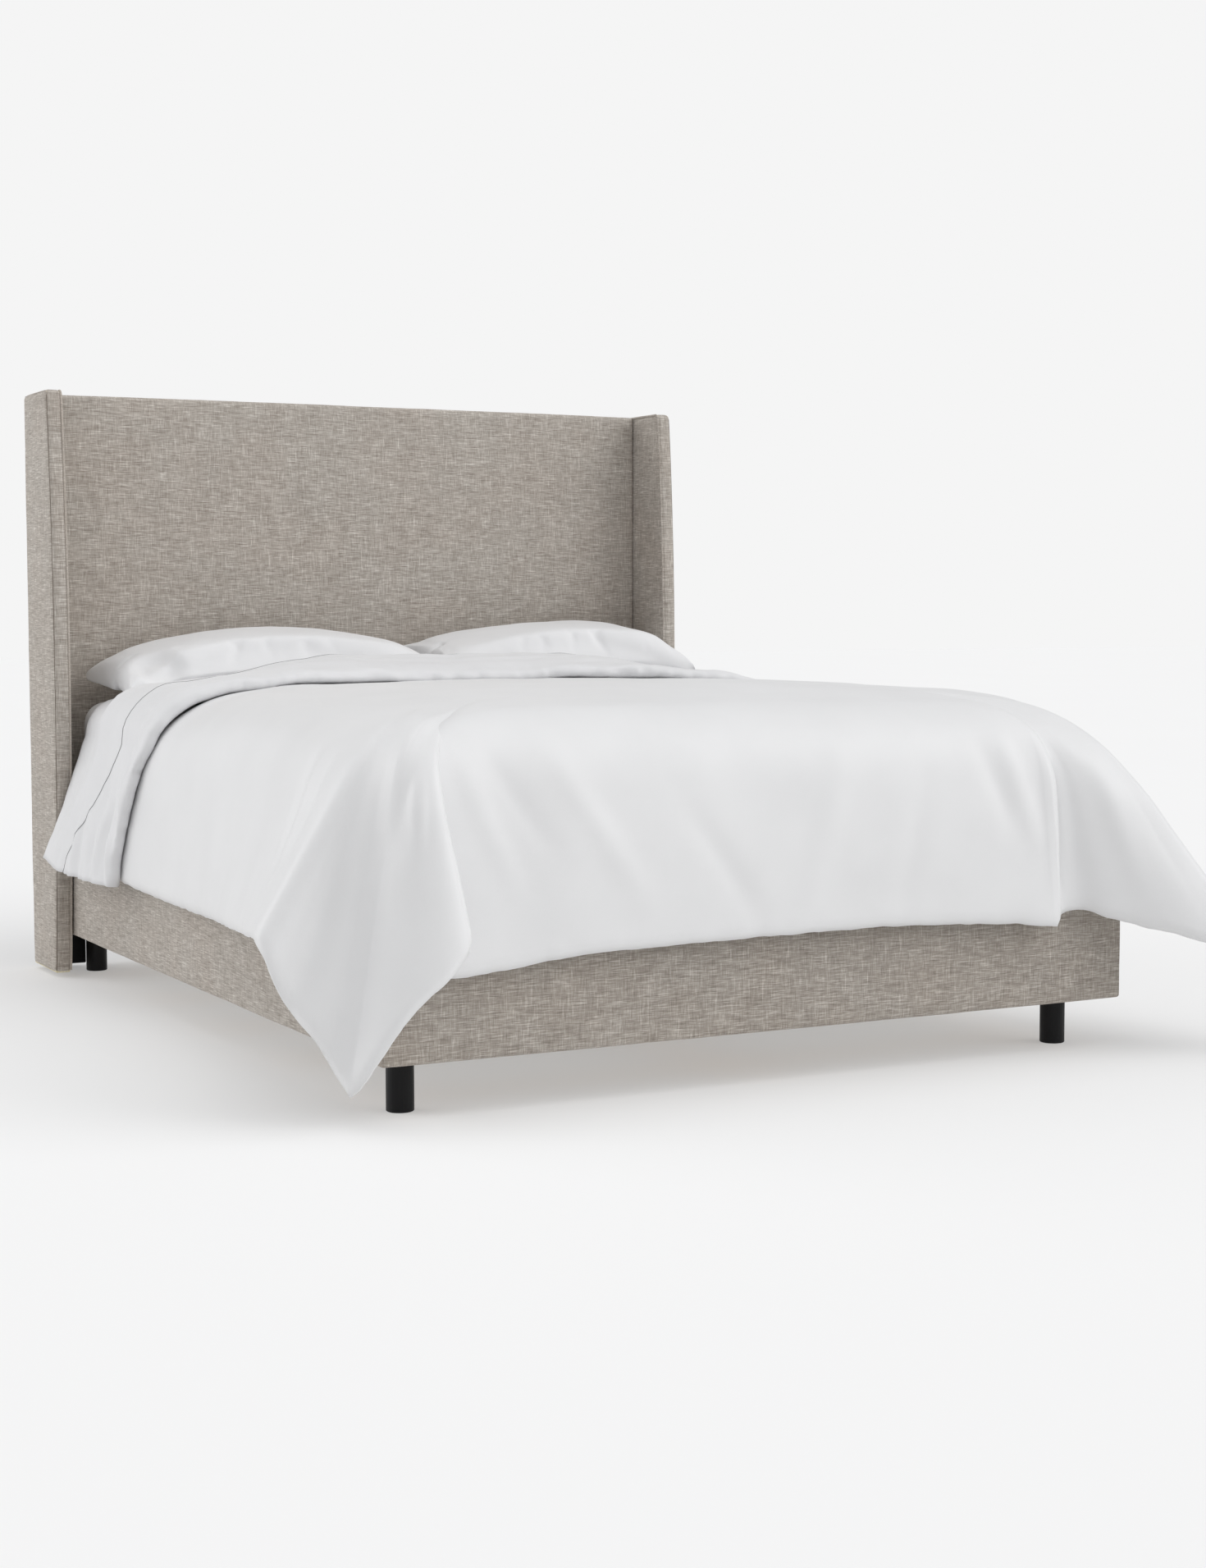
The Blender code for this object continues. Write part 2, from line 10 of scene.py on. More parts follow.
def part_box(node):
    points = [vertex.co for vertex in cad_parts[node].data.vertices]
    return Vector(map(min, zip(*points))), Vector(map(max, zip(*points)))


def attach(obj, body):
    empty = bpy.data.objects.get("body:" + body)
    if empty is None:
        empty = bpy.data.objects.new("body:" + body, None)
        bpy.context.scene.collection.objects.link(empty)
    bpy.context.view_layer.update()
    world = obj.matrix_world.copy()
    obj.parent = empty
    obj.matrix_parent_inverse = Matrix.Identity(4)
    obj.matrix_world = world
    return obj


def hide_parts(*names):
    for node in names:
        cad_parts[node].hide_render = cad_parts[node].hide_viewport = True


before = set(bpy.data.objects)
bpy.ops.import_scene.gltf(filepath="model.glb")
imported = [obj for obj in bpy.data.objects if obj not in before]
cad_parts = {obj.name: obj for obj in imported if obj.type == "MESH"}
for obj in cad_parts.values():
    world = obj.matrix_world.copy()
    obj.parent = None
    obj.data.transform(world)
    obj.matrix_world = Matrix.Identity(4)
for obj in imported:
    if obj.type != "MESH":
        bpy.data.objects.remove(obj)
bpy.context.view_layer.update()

scene = bpy.context.scene

# ---------------------------------------------------------------- places taken from the CAD

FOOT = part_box("foot_rail_cover")[0].y      # outer face of the foot rail
BED_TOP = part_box("fitted_sheet")[1].z
HEAD_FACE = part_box("headboard_cover")[0].y
DUVET_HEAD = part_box("duvet")[1].y - FOOT   # how far up the bed the duvet reaches
SIDES = ("left", "right")


# ---------------------------------------------------------------- materials

class Nodes:
    """Short names for adding shader nodes to one material."""

    def __init__(self, name, rough, **inputs):
        self.material = bpy.data.materials.new(name)
        self.material.use_nodes = True
        self.tree = self.material.node_tree
        self.shader = self.tree.nodes["Principled BSDF"]
        for key, value in {"Roughness": rough, **inputs}.items():
            self.shader.inputs[key.replace("_", " ")].default_value = value

    def add(self, kind, **settings):
        node = self.tree.nodes.new("ShaderNode" + kind)
        for key, value in settings.items():
            setattr(node, key, value)
        return node

    def link(self, a, b):
        self.tree.links.new(a, b)

    def put(self, value, socket):
        if isinstance(value, bpy.types.NodeSocket):
            self.link(value, socket)
        elif value is not None:
            socket.default_value = value

    def math(self, op, a, b=None):
        node = self.add("Math", operation=op)
        for value, socket in zip((a, b), node.inputs):
            self.put(value, socket)
        return node.outputs[0]

    def mul(self, a, b):
        return self.math("MULTIPLY", a, b)

    def plus(self, a, b):
        return self.math("ADD", a, b)

    def less(self, a, b):
        return self.math("SUBTRACT", a, b)

    def mix(self, factor, a, b, blend="MIX"):
        node = self.add("Mix", data_type="RGBA", blend_type=blend)
        self.put(factor, node.inputs["Factor"])
        self.put(a, node.inputs["A"])
        self.put(b, node.inputs["B"])
        return node.outputs["Result"]

    def vector(self, x, y, z):
        node = self.add("CombineXYZ")
        for value, socket in zip((x, y, z), node.inputs):
            self.put(value, socket)
        return node.outputs[0]

    def place(self):
        """The object's own x, y and z."""
        if not hasattr(self, "coordinates"):
            self.coordinates = self.add("TexCoord")
            self.split = self.add("SeparateXYZ")
            self.link(self.coordinates.outputs["Object"], self.split.inputs[0])
        return self.split.outputs

    def texture(self, kind, scale, stretch=(1, 1, 1), **settings):
        """A texture laid out in the object's own coordinates, in cycles per metre."""
        spread = self.add("Mapping")
        spread.inputs["Scale"].default_value = stretch
        self.place()
        self.link(self.coordinates.outputs["Object"], spread.inputs["Vector"])
        node = self.add(kind, **settings)
        node.inputs["Scale"].default_value = scale
        self.link(spread.outputs[0], node.inputs["Vector"])
        return node

    def cloud(self, scale, detail=2.0, stretch=(1, 1, 1), rough=0.5):
        """Noise from 0 to 1."""
        node = self.texture("TexNoise", scale, stretch)
        node.inputs["Detail"].default_value = detail
        node.inputs["Roughness"].default_value = rough
        return node.outputs["Fac"]

    def ramp(self, value, *stops):
        node = self.add("ValToRGB")
        ramp = node.color_ramp
        while len(ramp.elements) < len(stops):
            ramp.elements.new(0.5)
        for element, (at, colour) in zip(ramp.elements, stops):
            element.position = at
            element.color = (*colour, 1)
        self.link(value, node.inputs[0])
        return node.outputs[0]

    def span(self, value, low, high, to_low=0.0, to_high=1.0):
        node = self.add("MapRange")
        self.put(value, node.inputs[0])
        for socket, number in zip(node.inputs[1:5], (low, high, to_low, to_high)):
            socket.default_value = number
        return node.outputs[0]

    def flat(self):
        """Two thread directions on whichever side of the piece a point is on."""
        x, y, z = self.place()
        normal = self.add("SeparateXYZ")
        self.link(self.coordinates.outputs["Normal"], normal.inputs[0])
        nx, ny, nz = (self.math("ABSOLUTE", n) for n in normal.outputs)
        side = self.math("GREATER_THAN", nx, ny)
        top = self.math("GREATER_THAN", nz, self.math("MAXIMUM", nx, ny))
        across = self.plus(self.mul(y, side), self.mul(x, self.less(1.0, side)))
        other = self.plus(self.mul(x, side), self.mul(y, self.less(1.0, side)))
        up = self.plus(self.mul(other, top), self.mul(z, self.less(1.0, top)))
        return across, up

    def colour(self, value):
        self.put(value, self.shader.inputs["Base Color"])

    def bump(self, height, depth, strength=1.0):
        node = self.add("Bump")
        node.inputs["Distance"].default_value = depth
        node.inputs["Strength"].default_value = strength
        self.link(height, node.inputs["Height"])
        if self.shader.inputs["Normal"].is_linked:
            self.link(self.shader.inputs["Normal"].links[0].from_socket, node.inputs["Normal"])
        self.link(node.outputs[0], self.shader.inputs["Normal"])


def times(colour, factor, more=0.0):
    """A colour made lighter or darker."""
    return tuple(c * factor + more for c in colour)


def srgb(r, g, b):
    """A colour given as 0 to 255 display values."""
    return tuple(((c / 255 + 0.055) / 1.055) ** 2.4 if c > 10 else c / 3295 for c in (r, g, b))


def linen(name, dark, middle, light, blush, pitch=0.0014):
    """Plain weave of heathered yarn, with fine threads between and a few thick slubs."""
    n = Nodes(name, 0.92, Sheen_Weight=0.10, Sheen_Roughness=0.5)
    across, up = n.flat()

    def yarn(run, side, width, length, seed):
        """Tone along threads that lie side by side, each different from the next."""
        row = n.math("FLOOR", n.math("DIVIDE", side, width))
        node = n.add("TexNoise")
        node.inputs["Scale"].default_value = 1.0
        node.inputs["Detail"].default_value = 1.0
        n.link(n.vector(n.math("DIVIDE", run, length), n.mul(row, 5.37), seed),
               node.inputs["Vector"])
        return node.outputs["Fac"]

    def both_ways(width, weft_length, warp_length, seed):
        return (yarn(across, up, width, weft_length, seed),
                yarn(up, across, width, warp_length, seed + 40.0))

    weft, warp = both_ways(pitch, 0.034, 0.030, 0.0)
    fine_weft, fine_warp = both_ways(pitch / 2, 0.012, 0.012, 80.0)
    slub_weft, slub_warp = both_ways(0.0022, 0.055, 0.055, 160.0)
    slub = n.plus(n.span(slub_weft, 0.61, 0.70), n.span(slub_warp, 0.61, 0.70))
    pale = n.plus(n.span(weft, 0.52, 0.80), n.mul(n.span(warp, 0.54, 0.82), 0.75))
    deep = n.plus(n.span(weft, 0.48, 0.20), n.mul(n.span(warp, 0.46, 0.18), 0.65))
    pale = n.plus(pale, n.mul(slub, 0.45))
    fine = n.less(n.plus(fine_weft, fine_warp), 1.0)
    tone = n.plus(n.mul(n.less(pale, deep), 0.33), n.mul(fine, 0.34))
    patch = n.cloud(11.0, 3.0)
    tone = n.plus(n.plus(tone, n.mul(n.less(patch, 0.5), 0.12)), 0.5)
    plain = n.ramp(tone, (0.05, dark), (0.50, middle), (0.95, light))
    n.colour(n.mix(n.span(n.cloud(7.0, 2.0), 0.40, 0.65, 0.0, 0.5), plain, (*blush, 1), "MULTIPLY"))
    lift = n.math("SINE", n.mul(across, math.pi * 2 / pitch))
    fall = n.math("SINE", n.mul(up, math.pi * 2 / pitch))
    n.bump(n.plus(n.mul(n.mul(lift, fall), 0.35), tone), 0.0005, 0.6)
    n.bump(n.cloud(9.0, 2.0), 0.004, 0.35)
    return n.material


def cotton(name, colour, rough, sheen, thread=0.0009, crease=0.25, gloss=0.0):
    """Fine white bed linen, with a hint of its threads and soft creases."""
    n = Nodes(name, rough, Sheen_Weight=sheen, Sheen_Roughness=0.35, Specular_IOR_Level=0.35 + gloss)
    across, up = n.flat()
    warp = n.math("SINE", n.mul(across, 2 * math.pi / thread))
    weft = n.math("SINE", n.mul(up, 2 * math.pi / thread))
    tint = n.cloud(6.0, 3.0)
    grain = n.cloud(900.0, 1.0)
    shade = n.plus(n.mul(tint, 0.6), n.mul(grain, 0.4))
    n.colour(n.ramp(shade, (0.3, times(colour, 0.955)), (0.62, colour)))
    n.bump(n.mul(warp, weft), 0.00006, 0.5)
    n.bump(n.cloud(14.0, 4.0, (1, 1, 0.7), rough=0.45), 0.006, crease)
    return n.material


def painted(name, colour, rough):
    """Satin paint on a turned leg, a little dusty and worn."""
    n = Nodes(name, rough, Specular_IOR_Level=0.22)
    smear = n.cloud(60.0, 3.0, (1, 1, 0.25))
    n.colour(n.ramp(smear, (0.35, colour), (0.75, times(colour, 1.6, 0.002))))
    n.put(n.span(smear, 0.3, 0.7, rough - 0.06, rough + 0.10), n.shader.inputs["Roughness"])
    n.bump(n.cloud(500.0, 2.0), 0.0002, 0.25)
    return n.material


def wood(name, light, dark, axis, rough=0.6):
    """Sawn softwood with its grain along one axis."""
    n = Nodes(name, rough)
    stretch = [0.9 if i == axis else 14.0 for i in range(3)]
    rings = n.texture("TexWave", 2.6, stretch, bands_direction="DIAGONAL")
    rings.inputs["Distortion"].default_value = 5.0
    rings.inputs["Detail"].default_value = 3.0
    fibre = n.cloud(160.0, 2.0, tuple(0.03 if i == axis else 1.0 for i in range(3)))
    tone = n.plus(n.mul(rings.outputs["Fac"], 0.65), n.mul(fibre, 0.35))
    n.colour(n.ramp(tone, (0.2, light), (0.85, dark)))
    n.bump(tone, 0.0006, 0.4)
    return n.material


def plywood(name):
    """Birch ply: a pale figured face and dark layers at the edges."""
    n = Nodes(name, 0.62)
    layers = n.texture("TexWave", 130.0, bands_direction="Y")
    figure = n.cloud(9.0, 4.0, (3.0, 3.0, 0.5))
    face = n.ramp(figure, (0.3, srgb(206, 178, 136)), (0.7, srgb(184, 150, 106)))
    n.colour(n.mix(n.mul(layers.outputs["Fac"], 0.25), face,
                   (*srgb(120, 86, 54), 1), "MULTIPLY"))
    n.bump(n.cloud(220.0, 2.0, (1, 1, 0.1)), 0.0003, 0.4)
    return n.material


def zinc(name):
    """Zinc-plated steel, faintly spangled."""
    n = Nodes(name, 0.38, Metallic=1.0)
    spangle = n.texture("TexVoronoi", 260.0)
    n.colour(n.ramp(spangle.outputs["Distance"], (0.1, srgb(176, 178, 180)),
                    (0.8, srgb(206, 207, 208))))
    n.put(n.span(n.cloud(90.0, 3.0), 0.3, 0.7, 0.28, 0.48), n.shader.inputs["Roughness"])
    n.bump(n.cloud(700.0, 2.0), 0.0001, 0.3)
    return n.material


def moulded(name, colour, rough=0.5):
    """Moulded plastic with a fine grain, scuffed in places."""
    n = Nodes(name, rough)
    scuff = n.cloud(120.0, 4.0)
    n.colour(n.ramp(scuff, (0.3, colour), (0.8, times(colour, 1.35, 0.01))))
    n.put(n.span(scuff, 0.3, 0.8, rough - 0.08, rough + 0.12), n.shader.inputs["Roughness"])
    n.bump(n.cloud(900.0, 1.0), 0.0001, 0.3)
    return n.material


def foam(name, colour):
    """Open-cell upholstery foam."""
    n = Nodes(name, 0.95)
    cells = n.texture("TexVoronoi", 420.0, feature="SMOOTH_F1")
    n.colour(n.ramp(cells.outputs["Distance"], (0.05, times(colour, 0.7)),
                    (0.5, colour)))
    n.bump(cells.outputs["Distance"], 0.0008, 0.6)
    return n.material


def felt(name, colour):
    """Spun-bonded dust cloth: a mat of fibres, heat-pressed in small dots."""
    n = Nodes(name, 0.88)
    fibre = n.cloud(300.0, 5.0, rough=0.7)
    dots = n.texture("TexVoronoi", 340.0)
    dots.inputs["Randomness"].default_value = 0.15
    n.colour(n.ramp(fibre, (0.3, colour), (0.75, times(colour, 1.9, 0.004))))
    n.bump(dots.outputs["Distance"], 0.0002, 0.5)
    n.bump(n.cloud(7.0, 3.0), 0.004, 0.4)
    return n.material


def ticking(name, colour):
    """Knitted mattress cover, with small raised diamonds."""
    n = Nodes(name, 0.9, Sheen_Weight=0.1)
    across, up = n.flat()
    size = 0.028
    one = n.math("SINE", n.mul(n.plus(across, up), 2 * math.pi / size))
    two = n.math("SINE", n.mul(n.less(across, up), 2 * math.pi / size))
    diamond = n.mul(one, two)
    grain = n.cloud(800.0, 2.0)
    shade = n.plus(n.mul(diamond, 0.2), grain)
    n.colour(n.ramp(shade, (0.35, times(colour, 0.86)), (0.7, colour)))
    n.bump(diamond, 0.0016, 0.5)
    n.bump(grain, 0.0002, 0.4)
    return n.material


LINEN = linen("linen", srgb(124, 115, 105), srgb(175, 167, 158), srgb(224, 219, 211),
              (1.0, 0.97, 0.955))
# a darker copy of the linen for the foot rail: painted shade, standing in for the shadow under the
# duvet's hem
SHADED_RAIL_LINEN = linen("shaded_rail_linen", srgb(112, 104, 95), srgb(162, 154, 145), srgb(212, 206, 198),
                   (1.0, 0.975, 0.955))
# a lighter copy of the linen for the left wing's piping: painted highlight along that wing's inner edge
LIT_WELT = linen("lit_welt_linen", srgb(146, 137, 127), srgb(184, 175, 165), srgb(220, 213, 204),
             (1.0, 0.97, 0.95), 0.0011)
SEAM = linen("seam_linen", srgb(84, 76, 68), srgb(122, 112, 102), srgb(150, 142, 132),
             (1, 1, 1), 0.0011)
SATEEN = cotton("sateen", (0.81, 0.81, 0.815), 0.44, 0.12, gloss=0.1, crease=0.10)
PERCALE = cotton("percale", (0.765, 0.765, 0.775), 0.60, 0.15, crease=0.22)
CASE = cotton("pillowcase", (0.80, 0.80, 0.808), 0.58, 0.15, crease=0.16)
THREAD = cotton("grey_stitching", srgb(150, 150, 152), 0.7, 0.1)
BLACK = painted("satin_black", srgb(9, 9, 11), 0.42)
PINE_X, PINE_Y, PINE_Z = (wood(name, srgb(214, 184, 138), srgb(176, 134, 84), axis)
                          for axis, name in enumerate(("pine_across", "pine_along", "pine_upright")))
PLY = plywood("birch_ply")
ZINC = zinc("zinc_plate")
NYLON = moulded("glide_nylon", srgb(58, 58, 60))
FOAM = foam("upholstery_foam", srgb(232, 222, 186))
DUST = felt("dust_cloth", srgb(44, 44, 46))
TICKING = ticking("mattress_ticking", srgb(222, 222, 220))


# ---------------------------------------------------------------- mesh helpers

def add_piece(name, mesh, body, material, nodes):
    """Puts a finished mesh in the scene, on its body, in place of the CAD nodes that it stands for."""
    mesh.materials.clear()
    mesh.materials.append(material)
    mesh.shade_smooth()
    obj = bpy.data.objects.new(name, mesh)
    scene.collection.objects.link(obj)
    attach(obj, body)
    if nodes:
        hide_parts(*nodes)
    return obj


def piece(name, verts, faces, body, material, slot, *nodes):
    """A piece made of the given points and faces."""
    mesh = bpy.data.meshes.new(name)
    mesh.from_pydata([tuple(map(float, v)) for v in verts], [], [tuple(map(int, f)) for f in faces])
    mesh.validate()
    build = bmesh.new()
    build.from_mesh(mesh)
    bmesh.ops.recalc_face_normals(build, faces=build.faces)
    build.to_mesh(mesh)
    build.free()
    return add_piece(name, mesh, body, material, nodes)


def grid_faces(rows, columns):
    """The quads of a grid of points."""
    index = np.arange(rows * columns).reshape(rows, columns)
    return np.stack([index[:-1, :-1], index[1:, :-1], index[1:, 1:], index[:-1, 1:]], -1).reshape(-1, 4)


def vertex_normals(verts, faces):
    """Mean normal at each vertex of a mesh of quads and triangles."""
    total = np.zeros_like(verts)
    for size in (3, 4):
        some = np.array([f for f in faces if len(f) == size])
        if len(some):
            a, b, c, d = (verts[some[:, k % size]] for k in range(4))
            flat = np.cross(c - a, d - b)
            for k in range(size):
                np.add.at(total, some[:, k], flat)
    return total / np.maximum(np.linalg.norm(total, axis=1, keepdims=True), 1e-12)


def same_way_round(verts, faces):
    """The faces of an open surface, all turned so that its highest part faces up."""
    build = bmesh.new()
    made = [build.verts.new(tuple(map(float, v))) for v in verts]
    for face in faces:
        build.faces.new([made[i] for i in face])
    build.verts.index_update()
    bmesh.ops.recalc_face_normals(build, faces=build.faces)
    turned = [tuple(v.index for v in f.verts) for f in build.faces]
    build.free()
    highest = np.argmax(verts[:, 2])
    if vertex_normals(verts, turned)[highest][2] < 0:
        turned = [tuple(reversed(f)) for f in turned]
    return turned


def thick_sheet(verts, faces, above, below):
    """A closed body round an open surface: above and below are the distances on each side."""
    normals = vertex_normals(verts, faces)
    count = len(verts)
    both = np.concatenate([verts + normals * above[:, None], verts - normals * below[:, None]])
    made = [tuple(f) for f in faces] + [tuple(i + count for i in reversed(f)) for f in faces]
    uses = {}
    for f in faces:
        for a, b in zip(f, (*f[1:], f[0])):
            key = (min(a, b), max(a, b))
            uses[key] = None if key in uses else (a, b)
    made += [(b, a, a + count, b + count) for edge in uses.values() if edge for a, b in [edge]]
    return both, made


def soft_noise(points, scale, seed=0.0):
    """Smooth noise in -1..1 at each point, with features about `scale` metres across."""
    return np.array([noise.noise(Vector(p) / scale + Vector((seed, seed * 1.7, seed * 2.3)))
                     for p in points])


def smooth(value, low, high):
    """0 below low, 1 above high, with a smooth rise between."""
    t = np.clip((value - low) / (high - low), 0.0, 1.0)
    return t * t * (3 - 2 * t)


def padded_box(name, low, high, radius, crown, spacing, body, material, slot, *nodes,
               ripple=0.0006):
    """Upholstered block: rounded edges, crowned faces, and a faint unevenness in the cloth."""
    low, high = np.array(low, float), np.array(high, float)
    size = high - low
    cuts = [max(4, int(round(s / spacing))) for s in size]
    lines = []
    for axis in range(3):
        inner = np.linspace(radius, size[axis] - radius, cuts[axis] + 1)
        edge = radius * (1 - np.cos(np.linspace(0, math.pi / 2, 5)[:-1]))
        lines.append(np.concatenate([edge, inner, size[axis] - edge[::-1]]) - size[axis] / 2)
    verts, faces, known = [], [], {}

    def vertex(p):
        key = tuple(np.round(p, 6))
        if key not in known:
            known[key] = len(verts)
            verts.append(p)
        return known[key]

    for axis in range(3):
        u, v = (axis + 1) % 3, (axis + 2) % 3
        for end in (-1, 1):
            ids = np.zeros((len(lines[u]), len(lines[v])), int)
            for i, a in enumerate(lines[u]):
                for j, b in enumerate(lines[v]):
                    p = np.zeros(3)
                    p[axis], p[u], p[v] = end * size[axis] / 2, a, b
                    ids[i, j] = vertex(p)
            for i in range(len(lines[u]) - 1):
                for j in range(len(lines[v]) - 1):
                    loop = (ids[i, j], ids[i + 1, j], ids[i + 1, j + 1], ids[i, j + 1])
                    faces.append(loop if end > 0 else loop[::-1])
    verts = np.array(verts)
    half = size / 2
    core = np.clip(verts, -(half - radius), half - radius)
    out = verts - core
    verts = core + radius * out / np.maximum(np.linalg.norm(out, axis=1, keepdims=True), 1e-9)
    share = verts / half
    for axis in range(3):
        u, v = (axis + 1) % 3, (axis + 2) % 3
        rise = crown[axis] * (1 - np.abs(share[:, u]) ** 4) * (1 - np.abs(share[:, v]) ** 4)
        facing = smooth(np.abs(share[:, axis]), 1 - 2 * radius / half[axis], 1.0)
        verts[:, axis] += np.sign(share[:, axis]) * rise * facing
    centre = (low + high) / 2
    verts += centre
    if ripple:
        wave = soft_noise(verts, 0.11, 3.1) + 0.6 * soft_noise(verts, 0.045, 7.7)
        away = vertex_normals(verts, faces)
        verts += away * (ripple * wave)[:, None]
    return piece(name, verts, faces, body, material, slot, *nodes)


def tube(name, path, radius, body, material, slot, *nodes, closed=False):
    """A round welt, tape or thread along a path."""
    curve = bpy.data.curves.new(name, "CURVE")
    curve.dimensions = "3D"
    curve.bevel_depth = radius
    curve.bevel_resolution = 2
    curve.use_fill_caps = not closed
    spline = curve.splines.new("POLY")
    spline.points.add(len(path) - 1)
    for point, co in zip(spline.points, path):
        point.co = (*map(float, co), 1)
    spline.use_cyclic_u = closed
    holder = bpy.data.objects.new(name, curve)
    mesh = bpy.data.meshes.new_from_object(holder)
    bpy.data.objects.remove(holder)
    build = bmesh.new()
    build.from_mesh(mesh)
    bmesh.ops.remove_doubles(build, verts=build.verts, dist=1e-5)
    build.to_mesh(mesh)
    build.free()
    return add_piece(name, mesh, body, material, nodes)


def box_of(node):
    """A CAD node's lowest and highest corners."""
    low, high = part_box(node)
    return np.array(low), np.array(high)


def plan(low, high, inset):
    """Middle and half sizes of a block seen from above, drawn in by inset."""
    return (high[:2] + low[:2]) / 2, (high[:2] - low[:2]) / 2 - inset


def round_plan(obj, low, high, corner):
    """Rounds an upright block's four plan corners further, to the given radius."""
    (mid_x, mid_y), (half_x, half_y) = plan(low, high, corner)
    for vertex in obj.data.vertices:
        dx, dy = abs(vertex.co.x - mid_x) - half_x, abs(vertex.co.y - mid_y) - half_y
        if dx > 0 and dy > 0:
            pull = (dx ** 8 + dy ** 8) ** 0.125 / math.hypot(dx, dy)
            vertex.co.x = mid_x + math.copysign(half_x + dx * pull, vertex.co.x - mid_x)
            vertex.co.y = mid_y + math.copysign(half_y + dy * pull, vertex.co.y - mid_y)


def plan_loop(low, high, inset, corner, height):
    """A closed line round a block's sides, at one height."""
    (mid_x, mid_y), (half_x, half_y) = plan(low, high, inset)
    line = []
    for quarter, (sx, sy) in enumerate(((1, 1), (-1, 1), (-1, -1), (1, -1))):
        for step in range(13):
            angle = math.pi / 2 * (quarter + step / 12)
            line.append((mid_x + sx * (half_x - corner) + corner * math.cos(angle),
                         mid_y + sy * (half_y - corner) + corner * math.sin(angle), height))
    return line


# ---------------------------------------------------------------- upholstery

FRAME = "frame"
WING_SWELL = 0.034             # how far a wing's padded front edge stands forward at mid-height
DUST_WALL = 0.0006
DUST_STEPS = (82, 66)
TACK_PITCH = 0.09
PIPING, SEAM_THREAD = 0.0030, 0.0013


def pad(name, node, radius, crown, spacing, material, slot, body=FRAME, ripple=0.0006):
    """A padded block in place of one CAD node."""
    obj = padded_box(name, *box_of(node), radius, crown, spacing, body, material, slot, node,
                     ripple=ripple)
    return obj


def wing_swell(z, low, high):
    """How far a wing's padded front edge stands forward of a straight one."""
    return WING_SWELL * math.sin(math.pi * min(1.0, max(0.0, (z - low) / (high - low)))) ** 0.8


headboard = pad("headboard_cloth", "headboard_cover", 0.010, (0.0, 0.004, 0.003), 0.020, LINEN,
                "upholstery")
flat_back = box_of("headboard_cover")[1][1]
for vertex in headboard.data.vertices:
    vertex.co.y = min(vertex.co.y, flat_back)

low, high = box_of("headboard_dust_cloth")
across, up = np.meshgrid(*(np.linspace(low[axis], high[axis], steps)
                           for axis, steps in zip((0, 2), DUST_STEPS)), indexing="ij")
to_edge = np.minimum(np.minimum(across - low[0], high[0] - across),
                     np.minimum(up - low[2], high[2] - up))
tacks = 0.0006 * np.cos((across + up) * 2 * math.pi / TACK_PITCH) * np.exp(-to_edge / 0.025)
verts = np.stack([across, np.full(across.shape, low[1] + 0.0009) + tacks, up], -1).reshape(-1, 3)
verts[:, 1] += 0.0007 * (1 + soft_noise(verts, 0.16, 6.2)) * smooth(to_edge.ravel(), 0.0, 0.06)
wall = np.full(len(verts), DUST_WALL / 2)
verts, faces = thick_sheet(verts, grid_faces(*DUST_STEPS), wall, wall)
dust = piece("dust_cloth_back", verts, faces, FRAME, DUST, "dust_cloth", "headboard_dust_cloth")

pad("headboard_foam_pad", "headboard_foam", 0.008, (0, 0, 0), 0.05, FOAM, "foam", ripple=0.0)
for side in SIDES:
    low, high = box_of(f"wing_cover_{side}")
    wing = pad(f"wing_cloth_{side}", f"wing_cover_{side}", 0.011, (0.002, 0.002, 0.002), 0.020, LINEN,
               "upholstery")
    for vertex in wing.data.vertices:
        forward = (high[1] - vertex.co.y) / (high[1] - low[1])
        vertex.co.y -= wing_swell(vertex.co.z, low[2], high[2]) * forward
    pad(f"wing_foam_pad_{side}", f"wing_foam_{side}", 0.004, (0, 0, 0), 0.05, FOAM, "foam",
        ripple=0.0)
    pad(f"side_rail_cloth_{side}", f"side_rail_cover_{side}", 0.007, (0.0015, 0, 0.001), 0.020, LINEN,
        "upholstery")
for side, sign in (("left", -1), ("right", 1)):
    low, high = box_of(f"wing_cover_{side}")
    inner, outer = (high[0], low[0]) if sign < 0 else (low[0], high[0])
    front, back, bottom, top = low[1], high[1], low[2], high[2]

    def edge_line(x, depth, drop, corner=0.010):
        """Up a wing's front edge and back along its top, set in by depth and down by drop."""
        rise = [(x, front + depth - wing_swell(z, bottom, top), z)
                for z in np.linspace(bottom + 0.006, top - drop - corner, 60)]
        turn = [(x, front + depth + corner * (1 - math.cos(a)), top - drop - corner * (1 - math.sin(a)))
                for a in np.linspace(0, math.pi / 2, 8)[1:]]
        return rise + turn + [(x, y, top - drop) for y in np.linspace(front + 0.03, back - 0.008, 8)]

    # the left piping takes the lighter linen copy, the right one plain linen: painted highlight on the
    # left wing's edge
    tube(f"wing_piping_{side}", edge_line(inner + sign * 0.0018, 0.0012, 0.0012), PIPING, FRAME,
         LIT_WELT if side == "left" else LINEN, "welt", f"wing_welt_{side}")
    tube(f"wing_seam_{side}", edge_line(outer - sign * 0.0036, 0.0030, 0.0030), SEAM_THREAD, FRAME,
         SEAM, "upholstery")
# the foot rail's cloth takes the darker linen copy: painted shade under the duvet's hem
pad("foot_rail_cloth", "foot_rail_cover", 0.007, (0, 0.0015, 0.001), 0.020, SHADED_RAIL_LINEN, "upholstery")

# ---------------------------------------------------------------- mattress and foundation

BASE_CORNER, PLAN_CORNER = 0.050, 0.085    # the foundation's and mattress's corners, from above
TAPE = 0.0045
SHEET_WALL = 0.0016

low, high = box_of("foundation")
foundation = pad("foundation_cloth", "foundation", 0.018, (0.003, 0.003, 0.003), 0.03, TICKING,
                 "ticking", ripple=0.001)
round_plan(foundation, low, high, BASE_CORNER)
for name, height in (("low", low[2] + 0.008), ("high", high[2] - 0.008)):
    tube(f"foundation_tape_{name}", plan_loop(low, high, 0.0030, BASE_CORNER, height), TAPE, FRAME,
         CASE, "ticking", closed=True)

